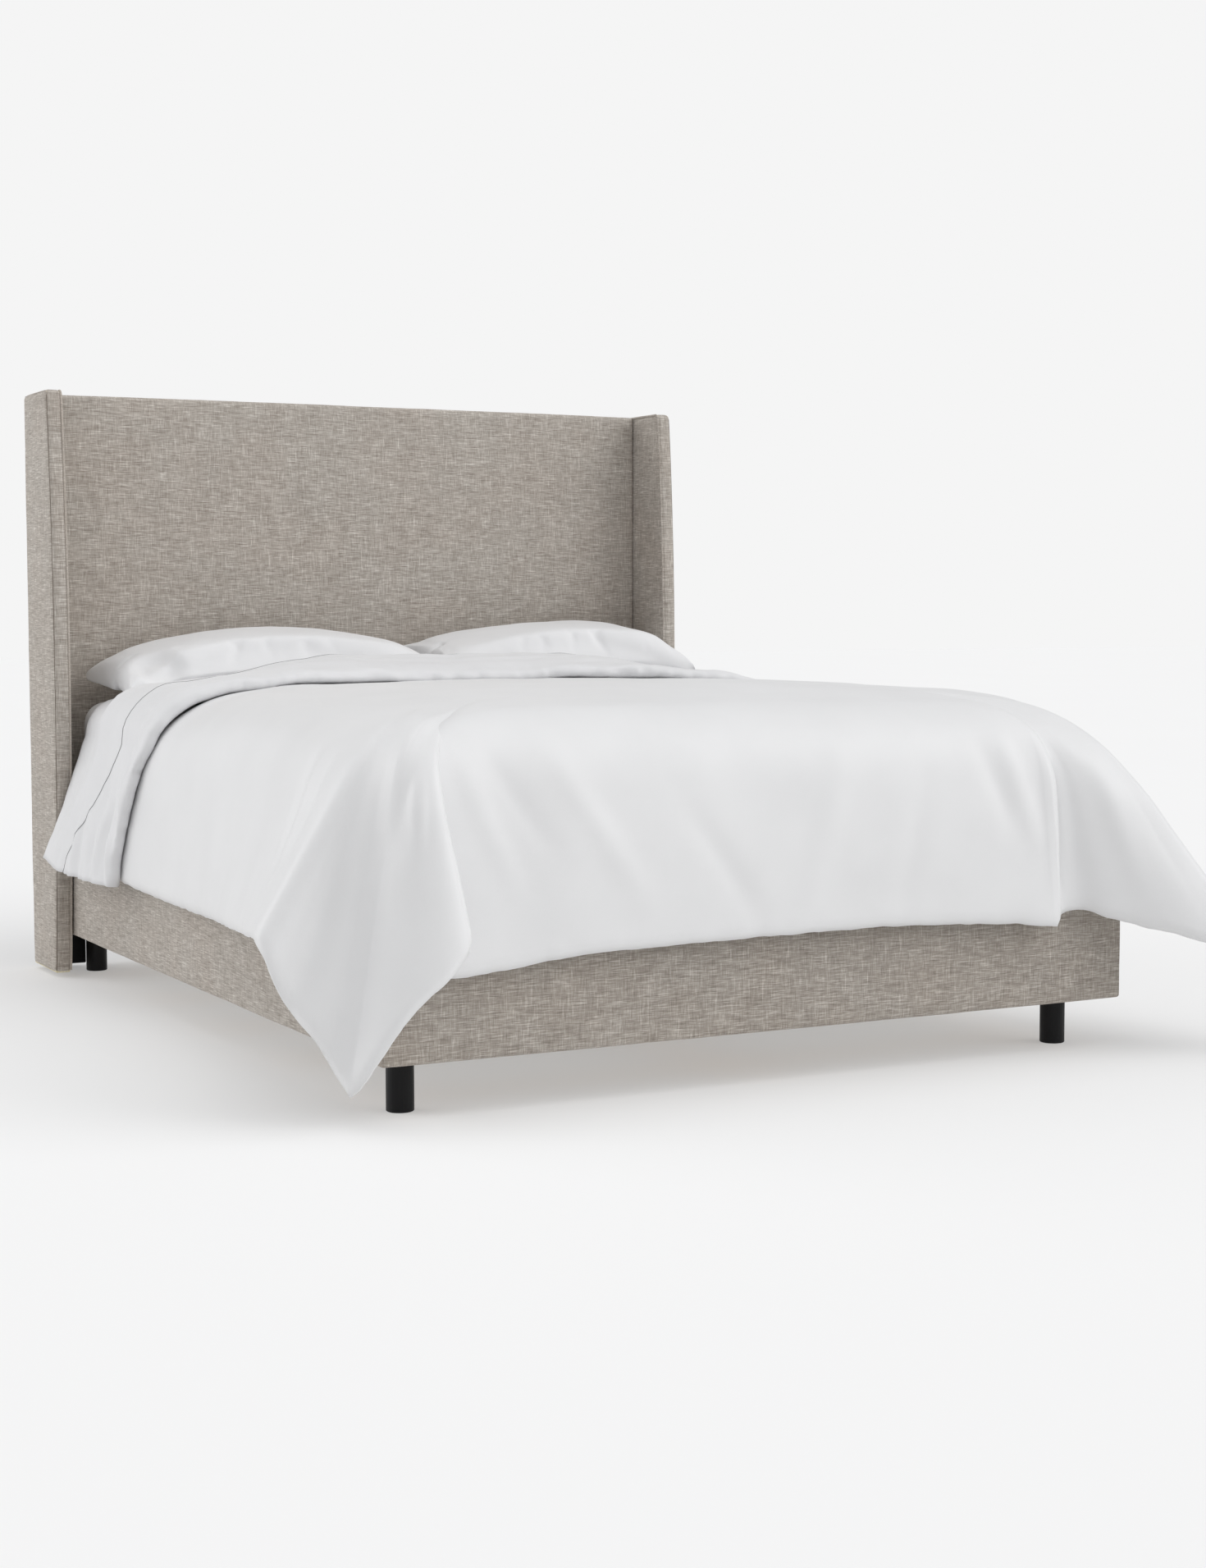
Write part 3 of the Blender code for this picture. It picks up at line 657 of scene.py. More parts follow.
low, high = box_of("mattress")
mattress = pad("mattress_pad", "mattress", 0.050, (0.0, 0.0, 0.0), 0.03, TICKING, "ticking",
               body="mattress", ripple=0.0)
round_plan(mattress, low, high, PLAN_CORNER)
tube("mattress_tape", plan_loop(low, high, 0.0090, PLAN_CORNER, low[2] + 0.024), TAPE, "mattress",
     CASE, "ticking", closed=True)

# the fitted sheet is open underneath
low, high = box_of("fitted_sheet")
fitted = padded_box("fitted_sheet_cloth", low, high, 0.055, (0.0, 0.0, 0.0), 0.025, "mattress", PERCALE,
                    "percale", "fitted_sheet", ripple=0.0012)
round_plan(fitted, low, high, PLAN_CORNER)
fitted_open = bmesh.new()
fitted_open.from_mesh(fitted.data)
bottom = [f for f in fitted_open.faces
          if f.normal.z < -0.5 and f.calc_center_median().z < low[2] + 0.012]
bmesh.ops.delete(fitted_open, geom=bottom, context="FACES")
fitted_open.to_mesh(fitted.data)
fitted_open.free()
wall = fitted.modifiers.new("wall", "SOLIDIFY")
wall.thickness = SHEET_WALL
wall.offset = -1


# ---------------------------------------------------------------- duvet

def curve_through(points, spacing):
    """Evenly spaced points on a smooth (centripetal Catmull-Rom) curve through the given rows."""
    points = np.array(points, float)
    ghost = np.concatenate([[2 * points[0] - points[1]], points, [2 * points[-1] - points[-2]]])
    out = []
    for i in range(1, len(ghost) - 2):
        near = ghost[i - 1:i + 3]
        gaps = [max(1e-6, np.linalg.norm(b[:3] - a[:3])) ** 0.5 for a, b in zip(near, near[1:])]
        knots = np.concatenate([[0.0], np.cumsum(gaps)])
        steps = max(2, int(np.linalg.norm(near[2][:3] - near[1][:3]) / 0.002))
        for t in np.linspace(knots[1], knots[2], steps, endpoint=False):
            mixed = near
            for spans in (((0, 1), (1, 2), (2, 3)), ((0, 2), (1, 3)), ((1, 2),)):
                mixed = [((knots[j] - t) * a + (t - knots[i]) * b) / (knots[j] - knots[i])
                         for (i, j), a, b in zip(spans, mixed, mixed[1:])]
            out.append(mixed[0])
    out = np.array(out + [points[-1]])
    run = np.concatenate([[0], np.cumsum(np.linalg.norm(np.diff(out[:, :3], axis=0), axis=1))])
    even = np.linspace(0, run[-1], max(3, int(round(run[-1] / spacing)) + 1))
    return np.stack([np.interp(even, run, out[:, k]) for k in range(out.shape[1])], 1)


# Each row is a place on the hem and the place on the bed's edge that the cloth hangs from there,
# as (across, along, height) in millimetres, along being measured from the foot rail's outer face.
LEFT_SIDE = np.array([
    (-843, 1450, 288, -790, 1290, 688),
    (-842, 1186, 278, -798, 1080, 697),
    (-848, 937, 277, -803, 860, 704),
    (-870, 715, 283, -805, 620, 703),
    (-915, 468, 296, -806, 390, 700),
    (-965, 257, 313, -804, 210, 695),
    (-1005, 100, 328, -798, 100, 690),
    (-1014, 60, 322, -794, 68, 688),
    (-1006, 48, 300, -791, 58, 686),
    (-988, 50, 254, -789, 48, 684),
    (-960, 48, 206, -786, 34, 681),
    (-925, 20, 155, -782, 18, 678),
    (-902, 12, 111, -778, 4, 675),
    (-884, -1, 78, -774, -10, 672),
    (-874, -12, 59, -771, -20, 670),
]) / 1000
FOOT_SIDE = np.array([
    (-874, -12, 59, -771, -20, 670),
    (-864, -32, 79, -768, -28, 669),
    (-838, -69, 138, -765, -36, 668),
    (-792, -104, 215, -760, -46, 666),
    (-732, -124, 274, -753, -52, 665),
    (-697, -114, 317, -750, -52, 664),
    (-698, -90, 313, -750, -48, 664),
    (-748, -60, 286, -752, -42, 665),
    (-762, -46, 270, -750, -35, 668),
    (-738, -35, 259, -737, -28, 674),
    (-690, -32, 255, -695, -20, 686),
    (-600, -34, 262, -600, -12, 698),
    (-453, -36, 278, -450, -8, 703),
    (-113, -38, 288, -110, -8, 705),
    (253, -38, 289, 250, -8, 703),
    (480, -42, 279, 470, -10, 699),
    (585, -50, 268, 560, -22, 690),
    (612, -46, 266, 585, -34, 680),
    (618, -30, 268, 596, -30, 674),
    (634, -18, 278, 604, -14, 674),
    (661, -18, 291, 616, -8, 675),
    (691, -27, 293, 632, -10, 676),
    (725, -55, 280, 648, -14, 674),
    (780, -85, 262, 664, -16, 674),
    (840, -120, 246, 682, -12, 674),
    (904, -150, 226, 700, -6, 674),
    (1020, -185, 180, 728, 6, 674),
]) / 1000
RIGHT_SIDE = np.array([
    (1020, -185, 180, 728, 6, 674),
    (1012, -50, 222, 752, 60, 680),
    (985, 150, 255, 780, 160, 688),
    (940, 350, 275, 798, 320, 697),
    (880, 600, 285, 803, 600, 703),
    (850, 1050, 290, 798, 1000, 697),
    (845, 1450, 300, 790, 1290, 688),
]) / 1000
# Each row is a crease: its two ends as (across, along, height), its width and its rise, in millimetres
CREASES = np.array([
    (-812, 260, 650, -930, 180, 410, 16, -7),
    (-815, 215, 650, -940, 150, 420, 14, 5),
    (-820, 165, 650, -925, 130, 460, 15, -6),
    (-757, -50, 665, -775, -80, 470, 11, 8),
    (-785, -40, 640, -815, -60, 460, 18, -8),
    (-690, -20, 670, -560, -38, 380, 20, 5),
    (-640, -15, 670, -480, -38, 440, 20, -4),
    (-500, -10, 640, -300, -40, 340, 24, 5),
    (-250, -10, 560, -60, -40, 300, 26, -5),
    (120, -10, 650, 20, -40, 320, 30, 4),
    (300, -10, 600, 230, -40, 300, 26, -4),
    (480, -10, 660, 560, -40, 420, 20, 6),
    (430, -10, 640, 500, -40, 460, 22, -5),
    (588, -36, 650, 606, -46, 290, 12, 5),
    (611, -14, 650, 630, -20, 330, 10, -18),
    (700, -20, 600, 800, -80, 330, 22, 5),
    (740, -10, 600, 880, -110, 330, 22, -4),
]) / 1000
HEM_STEP = 0.012
RULE_STEPS = 50
GRID_STEP = 0.027              # between points of the flat part
SHOULDER = 0.130               # cloth taken up by the roll over the mattress's edge
FOOT_SWELL, SIDE_SWELL = 0.016, 0.012    # how far the hanging parts belly out
HEM_WAVE, PUCKER = 0.0025, 0.0028
END_ROUND, EDGE_ROUND = 0.035, 0.030     # where the filling thins out, at the head and at the hem
SEWN_ABOVE, SEWN_BELOW = 0.0022, 0.0018  # half thicknesses at the very edge
LOFT = 0.024                   # filling above the duvet's middle, where it lies on the bed
LIES_ON = BED_TOP + 0.002      # height of the duvet's underside there
INNER = (0.560, 0.260, 0.160)  # start of the flat part: half width, along, and its corners' radius


def crown(x, along):
    """Height of the duvet's middle layer where it lies on the bed."""
    across = 1 - np.clip(np.abs(x) / 0.70, 0, 1) ** 2.2
    swell = 0.006 + 0.014 * (1 - smooth(along, 0.75, 1.35))
    return 0.696 + across * swell * smooth(along, 0.05, 0.50)


def head_edge(x):
    """How far up the bed the duvet's head end lies, drawn down a little towards the sides."""
    return DUVET_HEAD - (DUVET_HEAD - LEFT_SIDE[0][4]) * np.abs(x / INNER[0]) ** 3


def on_inner(x, along):
    """Nearest place on the edge of the flat part."""
    half, start, corner = INNER
    cx, cy = half - corner, start + corner
    px, py = np.abs(x), along
    dx, dy = np.maximum(px - cx, 0), np.maximum(cy - py, 0)
    away = np.maximum(np.hypot(dx, dy), 1e-9)
    in_corner = (dx > 0) & (dy > 0)
    qx = np.where(in_corner, cx + corner * dx / away, np.where(dy > 0, px, half))
    qy = np.where(in_corner, cy - corner * dy / away, np.where(dy > 0, start, py))
    return np.sign(x) * qx, qy


def unfolded(x, along):
    """Places on the edge of the flat part, moved along it so that none goes back over its neighbours."""
    middle, reach = 0.80, 2.0
    round_bed = np.linspace(-2.6, 2.6, 800)
    path_x, path_y = on_inner(reach * np.sin(round_bed), middle - reach * np.cos(round_bed))
    path_turn = np.arctan2(path_x, middle - path_y)
    turn = np.maximum.accumulate(np.arctan2(x, middle - along))
    window = 31
    ends = np.pad(turn, window // 2, mode="reflect", reflect_type="odd")
    turn = 0.96 * np.convolve(ends, np.ones(window) / window, mode="valid") + 0.04 * np.linspace(
        turn[0], turn[-1], len(turn))
    return np.interp(turn, path_turn, path_x), np.interp(turn, path_turn, path_y)


def rounded_rule(start, edge, hem, radius, steps):
    """From start over the edge to the hem, the corner at the edge rounded off."""
    first, second = edge - start, hem - edge
    la, lb = (np.linalg.norm(v, axis=1, keepdims=True) for v in (first, second))
    cut = np.minimum(radius[:, None], np.minimum(0.92 * la, 0.5 * lb))
    a, b = edge - first / la * cut, edge + second / lb * cut
    arc = 1.62 * cut
    total = la - cut + arc + lb - cut
    rows = []
    for share in np.linspace(0, 1, steps):
        run = share * total
        straight = start + first / la * run
        t = np.clip((run - (la - cut)) / arc, 0, 1)
        bend = (1 - t) ** 2 * a + 2 * t * (1 - t) * edge + t * t * b
        after = b + second / lb * (run - (la - cut) - arc)
        rows.append(np.where(run < la - cut, straight, np.where(run < la - cut + arc, bend, after)))
    return np.stack(rows, 1), total[:, 0]


def ridge(points, start, end, width, height):
    """A soft crease along a line: how far each point is raised by it."""
    line = end - start
    t = np.clip((points - start) @ line / (line @ line), 0, 1)
    away = np.linalg.norm(points - start - t[:, None] * line, axis=1)
    return height * np.exp(-(away / width) ** 2) * np.sin(math.pi * np.clip(t, 0.02, 0.98)) ** 0.7


hem_line = np.concatenate([curve_through(LEFT_SIDE, HEM_STEP)[:-1],
                           curve_through(FOOT_SIDE, HEM_STEP)[:-1], curve_through(RIGHT_SIDE, HEM_STEP)])
hem, edge = hem_line[:, :3].copy(), hem_line[:, 3:].copy()
hem[:, 2] += HEM_WAVE * soft_noise(hem, 0.030, 8.8)
inner_x, inner_y = unfolded(*on_inner(edge[:, 0], edge[:, 1]))
start = np.stack([inner_x, inner_y, crown(inner_x, inner_y)], 1)
to_right_corner = np.hypot(edge[:, 0] - 0.74, edge[:, 1] - 0.02)
turn = SHOULDER + 0.10 * np.exp(-(to_right_corner / 0.12) ** 2) + 0.06 * smooth(edge[:, 1], 0.90, 1.25)
skirt, drop = rounded_rule(start, edge, hem, turn, RULE_STEPS)
columns = len(hem)
skirt = skirt.reshape(-1, 3)
skirt_faces = grid_faces(columns, RULE_STEPS)
from_hem = np.repeat(drop, RULE_STEPS) * np.tile(1 - np.linspace(0, 1, RULE_STEPS), columns)

# the flat part, filled inside the skirt's inner edge
rim = skirt.reshape(columns, RULE_STEPS, 3)[:, 0]
across_head = np.linspace(rim[-1, 0], rim[0, 0], 44)[1:-1]
head_rim = np.stack([across_head, head_edge(across_head), crown(across_head, head_edge(across_head))], 1)
loop = np.concatenate([rim, head_rim])
xs, ys = np.meshgrid(np.arange(-0.54, 0.56, GRID_STEP), np.arange(0.285, DUVET_HEAD - 0.012, GRID_STEP))
xs, ys = xs.ravel(), ys.ravel()
gap_to_loop = np.array([np.min(np.hypot(loop[:, 0] - x, loop[:, 1] - y)) for x, y in zip(xs, ys)])
inside = (gap_to_loop > 0.016) & (np.abs(xs) < 0.545) & (ys < head_edge(xs)) & ~(
    (np.abs(xs) > INNER[0] - INNER[2]) & (ys < INNER[1] + INNER[2])
    & (np.hypot(np.abs(xs) - INNER[0] + INNER[2], ys - INNER[1] - INNER[2]) > INNER[2] - 0.012))
xs, ys = xs[inside], ys[inside]
flat_points = np.concatenate([loop[:, :2], np.stack([xs, ys], 1)])
edges = [(i, (i + 1) % len(loop)) for i in range(len(loop))]
made = geometry.delaunay_2d_cdt([Vector(p) for p in flat_points], edges, [], 1, 1e-7)
flat_out, flat_faces, origins = made[0], made[2], made[3]
skirt_ids = np.arange(columns) * RULE_STEPS
fresh, ids = [], []
for place, source in zip(flat_out, origins):
    first = source[0] if source else -1
    if 0 <= first < columns:
        ids.append(skirt_ids[first])
    else:
        ids.append(len(skirt) + len(fresh))
        fresh.append((place.x, place.y, crown(place.x, place.y)))
top_faces = [tuple(ids[i] for i in f) for f in flat_faces]
middle = np.concatenate([skirt, np.array(fresh)])
from_hem = np.concatenate([from_hem, np.full(len(fresh), 0.9)])
faces = same_way_round(middle, [tuple(f) for f in skirt_faces] + top_faces)
normals = vertex_normals(middle, faces)
slant = np.interp(middle[:, 2], (0.29, 0.68), (LEFT_SIDE[0][1], LEFT_SIDE[0][4]))
from_head = np.where(np.abs(middle[:, 0]) > INNER[0], slant, head_edge(middle[:, 0])) - middle[:, 1]
lift = np.zeros(len(middle))
foot_part = smooth(-middle[:, 1], -0.10, 0.0) * (1 - smooth(np.abs(middle[:, 0]), 0.45, 0.62))
share_down = np.clip((0.70 - middle[:, 2]) / 0.43, 0, 1)
lift += FOOT_SWELL * foot_part * np.sin(math.pi * share_down) ** 1.2
side_part = smooth(np.abs(middle[:, 0]), 0.72, 0.80) * smooth(middle[:, 1], 0.45, 0.80)
lift += SIDE_SWELL * side_part * np.sin(math.pi * share_down)
for row in CREASES:
    lift += ridge(middle, row[:3], row[3:6], row[6], row[7])
unevenness = soft_noise(middle, 0.22, 1.3) * 0.004 + soft_noise(middle, 0.085, 5.1) * 0.0012
pucker = soft_noise(middle, 0.020, 2.2) * PUCKER * (1 - smooth(from_hem, 0.0, 0.05))
lift += unevenness * smooth(from_hem, 0.0, 0.10) + pucker
middle = middle + normals * lift[:, None]
end_round, edge_round = (np.sqrt(np.clip(1 - (1 - np.clip(distance / radius, 0, 1)) ** 2, 0, 1))
                         for distance, radius in ((from_head, END_ROUND), (from_hem, EDGE_ROUND)))
thin = 0.0075 + 0.004 * (1 - smooth(from_head, 0.05, 0.50))
on_bed = smooth(from_hem, 0.40, 0.66)
deep = np.maximum(middle[:, 2] - LIES_ON, thin)
ending = 0.08 + 0.92 * end_round
above = (SEWN_ABOVE + (thin + (LOFT - thin) * on_bed) * edge_round) * ending
below = (SEWN_BELOW + (thin + (deep - thin) * on_bed) * edge_round) * ending
middle[:, 1] += FOOT
body_points, body_faces = thick_sheet(middle, faces, above, below)
duvet = piece("duvet_cover", body_points, body_faces, "duvet", SATEEN, "sateen", "duvet")


# ---------------------------------------------------------------- top sheet, turned back

BAND_HALF_TOP = 0.775
BAND_TOP = BED_TOP + 0.003
BAND_ROLL = 0.075              # radius of its turn over the mattress's edge
BAND_SIDE_LOW = 0.280          # height of its hem
BAND_HEAD_END = 1.915
BAND_STEPS = (190, 96)         # across the bed, and along it
BAND_WALL = 0.0044
STITCH_RUN = 0.50
STITCH_THREAD = 0.0012
RAY = 0.25                     # how far out the duvet's surface is looked for


def band_path(share):
    """Across the bed from the left hem to the right: place and outward direction."""
    flat = BAND_HALF_TOP - BAND_ROLL
    turn = BAND_ROLL * math.pi / 2
    side = BAND_TOP - BAND_ROLL - BAND_SIDE_LOW
    whole = flat + turn + side
    run = np.abs(share) * whole
    sign = np.sign(share)
    angle = np.clip((run - flat) / BAND_ROLL, 0, math.pi / 2)
    fallen = np.clip(run - flat - turn, 0, None)
    x = np.minimum(run, flat) + BAND_ROLL * np.sin(angle)
    z = BAND_TOP - BAND_ROLL * (1 - np.cos(angle)) - fallen
    return sign * x, z, sign * np.sin(angle), np.cos(angle), fallen / side


# Each row is (run, distance behind the fold's front, outwards): the fold's front lip, above the duvet,
# then the rest of the section on the bed and at the hem, above the band's own path
BAND_LIP = [(0.00, 0.050, 0.004), (0.03, 0.018, 0.004), (0.06, 0.000, 0.012), (0.09, 0.003, 0.023),
            (0.13, 0.016, 0.031), (0.18, 0.036, 0.036), (1.00, 0.036, 0.036)]
BAND_ON_BED = [(0.00, 0.000, 0.060), (0.16, 0.044, 0.086), (0.26, 0.094, 0.096), (0.38, 0.148, 0.106),
               (0.50, 0.208, 0.110), (0.62, 0.273, 0.092), (0.74, 0.338, 0.052), (0.84, 0.408, 0.016),
               (1.00, 0.500, 0.006)]
BAND_AT_HEM = [(0.00, 0.000, 0.100), (0.16, 0.050, 0.110), (0.26, 0.130, 0.116), (0.38, 0.240, 0.118),
               (0.50, 0.350, 0.118), (0.62, 0.410, 0.118), (0.74, 0.450, 0.118), (0.84, 0.490, 0.118),
               (1.00, 0.540, 0.118)]
band_rows, band_columns = BAND_STEPS
share, run = np.meshgrid(np.linspace(-1, 1, band_rows), np.linspace(0, 1, band_columns), indexing="ij")
x, z, nx, nz, fallen = band_path(share)


def behind_and_out(table):
    """A section's distance behind the fold's front, and outwards, at every point of the band."""
    table = np.array(curve_through(table, 0.004))
    return np.interp(run, table[:, 0], table[:, 1]), np.interp(run, table[:, 0], table[:, 2])


# where the fold's front meets the duvet, and how far the duvet stands out from the band's path there
meets = 1.372 - 0.122 * smooth(np.abs(x), 0.10, 0.74) + 0.150 * fallen
duvet_tree = bvhtree.BVHTree.FromPolygons([Vector(p) for p in body_points], body_faces)
found_at, surface = [], []
for i in range(band_rows):
    outward = Vector((nx[i, 0], 0.0, nz[i, 0]))
    far = Vector((x[i, 0], meets[i, 0] + FOOT + 0.010, z[i, 0])) + RAY * outward
    distance = duvet_tree.ray_cast(far, -outward)[3]
    if distance is not None and distance < RAY:
        found_at.append(i)
        surface.append(RAY - distance)
surface = np.interp(np.arange(band_rows), found_at, surface)
surface = np.convolve(np.pad(surface, 3, mode="edge"), np.ones(7) / 7, mode="valid")[:, None]
lip_behind, lip_out = behind_and_out(BAND_LIP)
bed_behind, bed_out = behind_and_out(BAND_ON_BED)
hem_behind, hem_out = behind_and_out(BAND_AT_HEM)
hung = smooth(fallen, 0.0, 1.0)
past_lip = smooth(run, 0.10, 0.26)
behind = bed_behind + (hem_behind - bed_behind) * hung
behind = lip_behind + (behind - lip_behind) * past_lip
room = BAND_HEAD_END - meets
along = meets + behind * (1 + (room / behind.max(axis=1, keepdims=True) - 1) * smooth(run, 0.45, 1.0))
fade = smooth(np.abs(x), 0.28, 0.775)
near_side = np.minimum(bed_out, 0.050)
out = bed_out + (near_side + (hem_out - near_side) * fallen - bed_out) * fade
above_duvet = surface + lip_out
out = above_duvet + (out - above_duvet) * past_lip


def grid_noise(a, b, seed):
    """Smooth noise over two grids of numbers."""
    values = [noise.noise(Vector((*pair, seed))) for pair in zip(a.ravel(), b.ravel())]
    return np.array(values).reshape(a.shape)


pleat_zone = smooth(run, 0.08, 0.20) * (1 - smooth(run, 0.44, 0.60))
out = out + 0.013 * grid_noise(along * 26, fallen * 2.0, 3.0) * pleat_zone * (
    0.35 + 0.65 * smooth(fallen, 0.05, 0.6))
at_lip = smooth(run, 0.03, 0.07) * (1 - smooth(run, 0.12, 0.24))
along = along - 0.010 * grid_noise(share * 60, run * 9, 7.0) * at_lip
points = np.stack([x + nx * out, along + FOOT, z + nz * out], -1).reshape(-1, 3)
points[:, 2] += (0.020 * smooth(run, 0.5, 1.0) * smooth(fallen, 0.6, 1.0)).ravel()
wobble = soft_noise(points, 0.10, 4.4) * 0.004 + soft_noise(points, 0.035, 9.4) * 0.0012
wobble *= smooth(run, 0.06, 0.16).ravel()
band_faces = grid_faces(band_rows, band_columns)
away = vertex_normals(points, band_faces)
if away[(band_rows // 2) * band_columns + band_columns // 2][2] < 0:
    band_faces = band_faces[:, ::-1]
    away = -away
points = points + away * wobble[:, None]
wall = np.full(len(points), BAND_WALL / 2)
verts, faces = thick_sheet(points, band_faces, wall, wall)
band = piece("top_sheet_cloth", verts, faces, "mattress", PERCALE, "percale", "top_sheet")
stitch_at = int(round(STITCH_RUN * (band_columns - 1)))
line = points.reshape(band_rows, band_columns, 3)[:, stitch_at]
line_out = away.reshape(band_rows, band_columns, 3)[:, stitch_at]
stitching = tube("top_sheet_stitching", line + line_out * BAND_WALL / 2, STITCH_THREAD, "mattress",
                 THREAD, "percale")


# ---------------------------------------------------------------- pillows

def settle(obj, pressure, frames, cap):
    """Inflates a closed cloth body for a few frames and keeps the result."""
    rest = np.array([v.co for v in obj.data.vertices])
    cloth = obj.modifiers.new("Cloth", "CLOTH")
    cloth.settings.quality = 5
    cloth.settings.mass = 0.15
    cloth.settings.use_pressure = True
    cloth.settings.uniform_pressure_force = pressure
    cloth.settings.effector_weights.gravity = 0
    cloth.settings.tension_stiffness = 12
    cloth.settings.compression_stiffness = 12
    cloth.settings.shear_stiffness = 6
    cloth.settings.bending_stiffness = 0.3
    cloth.settings.air_damping = 2.0
    cloth.point_cache.frame_start = 1
    cloth.point_cache.frame_end = frames
    for number in range(1, frames + 1):
        scene.frame_set(number)
    shape = obj.evaluated_get(bpy.context.evaluated_depsgraph_get()).to_mesh()
    blown = np.array([v.co for v in shape.vertices])
    obj.evaluated_get(bpy.context.evaluated_depsgraph_get()).to_mesh_clear()
    obj.modifiers.remove(cloth)
    scene.frame_set(1)
    move = blown - rest
    far = np.linalg.norm(move, axis=1, keepdims=True)
    return rest + move * np.minimum(1.0, cap / np.maximum(far, 1e-9))


PILLOW_WIDE, PILLOW_DEEP, PILLOW_HALF_THICK = 0.82, 0.44, 0.045
PILLOW_STEP = 0.0125


def pillow_form():
    """Two layers sewn at the edge, centred on the origin, as a grid of each and the faces."""
    n, m = int(PILLOW_WIDE / PILLOW_STEP) + 1, int(PILLOW_DEEP / PILLOW_STEP) + 1
    u, v = np.meshgrid(np.linspace(-1, 1, n), np.linspace(-1, 1, m), indexing="ij")
    px = PILLOW_WIDE / 2 * u * (1 - 0.02 * (1 - v ** 2))
    py = PILLOW_DEEP / 2 * v * (1 - 0.05 * (1 - u ** 2))
    pz = PILLOW_HALF_THICK * ((1 - u ** 4) * (1 - v ** 4)) ** 0.7 + 0.002
    top = np.stack([px, py, pz], -1).reshape(-1, 3)
    faces = grid_faces(n, m)
    count = n * m
    ring = ([i * m for i in range(n)] + [(n - 1) * m + j for j in range(1, m)]
            + [i * m + m - 1 for i in range(n - 2, -1, -1)] + [j for j in range(m - 2, 0, -1)])
    made = [tuple(f) for f in faces[:, ::-1]] + [tuple(f + count) for f in faces]
    made += [(a, b, b + count, a + count) for a, b in zip(ring, ring[1:] + ring[:1])]
    return np.concatenate([top, top * (1, 1, -1)]), made, (2, n, m)


pillow_points, pillow_faces, pillow_grid = pillow_form()
trial = bpy.data.objects.new("pillow_trial", bpy.data.meshes.new("pillow_trial"))
trial.data.from_pydata(pillow_points.tolist(), [], [tuple(map(int, f)) for f in pillow_faces])
fix = bmesh.new()
fix.from_mesh(trial.data)
bmesh.ops.recalc_face_normals(fix, faces=fix.faces)
fix.to_mesh(trial.data)
fix.free()
scene.collection.objects.link(trial)
pillow_points = settle(trial, 6.0, 20, 0.040)
bpy.data.objects.remove(trial)

# (distance in from the outer end, top, underside): each pillow's height along its length
PILLOW_LINES = {
    "left": [(0.000, 0.724, 0.706), (0.020, 0.748, 0.703), (0.060, 0.781, 0.700), (0.120, 0.805, 0.698),
             (0.190, 0.824, 0.697), (0.300, 0.842, 0.696), (0.470, 0.851, 0.696), (0.660, 0.836, 0.700),
             (0.770, 0.812, 0.715), (0.830, 0.775, 0.735)],
    "right": [(0.000, 0.760, 0.730), (0.030, 0.800, 0.715), (0.090, 0.845, 0.705), (0.200, 0.862, 0.698),
              (0.320, 0.861, 0.696), (0.480, 0.848, 0.696), (0.620, 0.824, 0.705), (0.700, 0.800, 0.720),
              (0.760, 0.765, 0.738)],
}
PILLOW_ENDS = {"left": (-0.750, 0.062), "right": (0.800, 0.070)}
PILLOW_FRONT, PILLOW_BACK = FOOT + 1.690, HEAD_FACE - 0.014
LEAN = 0.10                    # how much higher the pillows lie towards the headboard
for number, label in enumerate(SIDES):
    outer, inner = PILLOW_ENDS[label]
    lines = curve_through(PILLOW_LINES[label], 0.005)
    form = pillow_points.reshape(*pillow_grid, 3).copy()
    reach = np.abs(form[..., 0]).max()
    from_outer = (1 + form[..., 0] / reach) / 2 * abs(outer - inner)
    deep = form[..., 1] / np.abs(form[..., 1]).max()
    thick = np.abs(form[..., 2]).max(axis=2, keepdims=True)
    swell = form[..., 2] / thick * smooth(thick, -0.02, 0.006)
    top, under = (np.interp(from_outer, lines[:, 0], lines[:, k]) for k in (1, 2))
    form[..., 0] = outer + np.sign(inner - outer) * from_outer
    form[..., 1] = PILLOW_FRONT + (deep + 1) / 2 * (PILLOW_BACK - PILLOW_FRONT)
    form[..., 2] = (top + under) / 2 + swell * (top - under) / 2 + LEAN * 0.19 * deep - 0.006
    form = form.reshape(-1, 3)
    flat_sheet = BED_TOP + 0.008
    form[:, 2] = np.maximum(form[:, 2], flat_sheet + 0.1 * (form[:, 2] - flat_sheet))
    out = vertex_normals(form, pillow_faces)
    rough = soft_noise(form, 0.16, 6.0 + number) * 0.004 + soft_noise(form, 0.05, 2.0 + number) * 0.0011
    if label == "left":
        lobe = np.linalg.norm((form - (-0.652, FOOT + 1.760, 0.760)) / (0.070, 0.100, 0.060), axis=1)
        rough += 0.024 * smooth(1 - lobe, 0.0, 0.50)
        crease = np.array([(-0.572, FOOT + 1.700, 0.710), (-0.600, FOOT + 1.830, 0.810)])
        rough += ridge(form, *crease, 0.010, -0.009)
    form += out * rough[:, None]
    cushion = piece(f"pillow_case_{label}", form, pillow_faces, f"pillow_{label}", CASE, "percale",
                    f"pillow_{label}")
    finer = cushion.modifiers.new("finer", "SUBSURF")
    finer.levels = finer.render_levels = 1

# ---------------------------------------------------------------- parts that keep their CAD shape

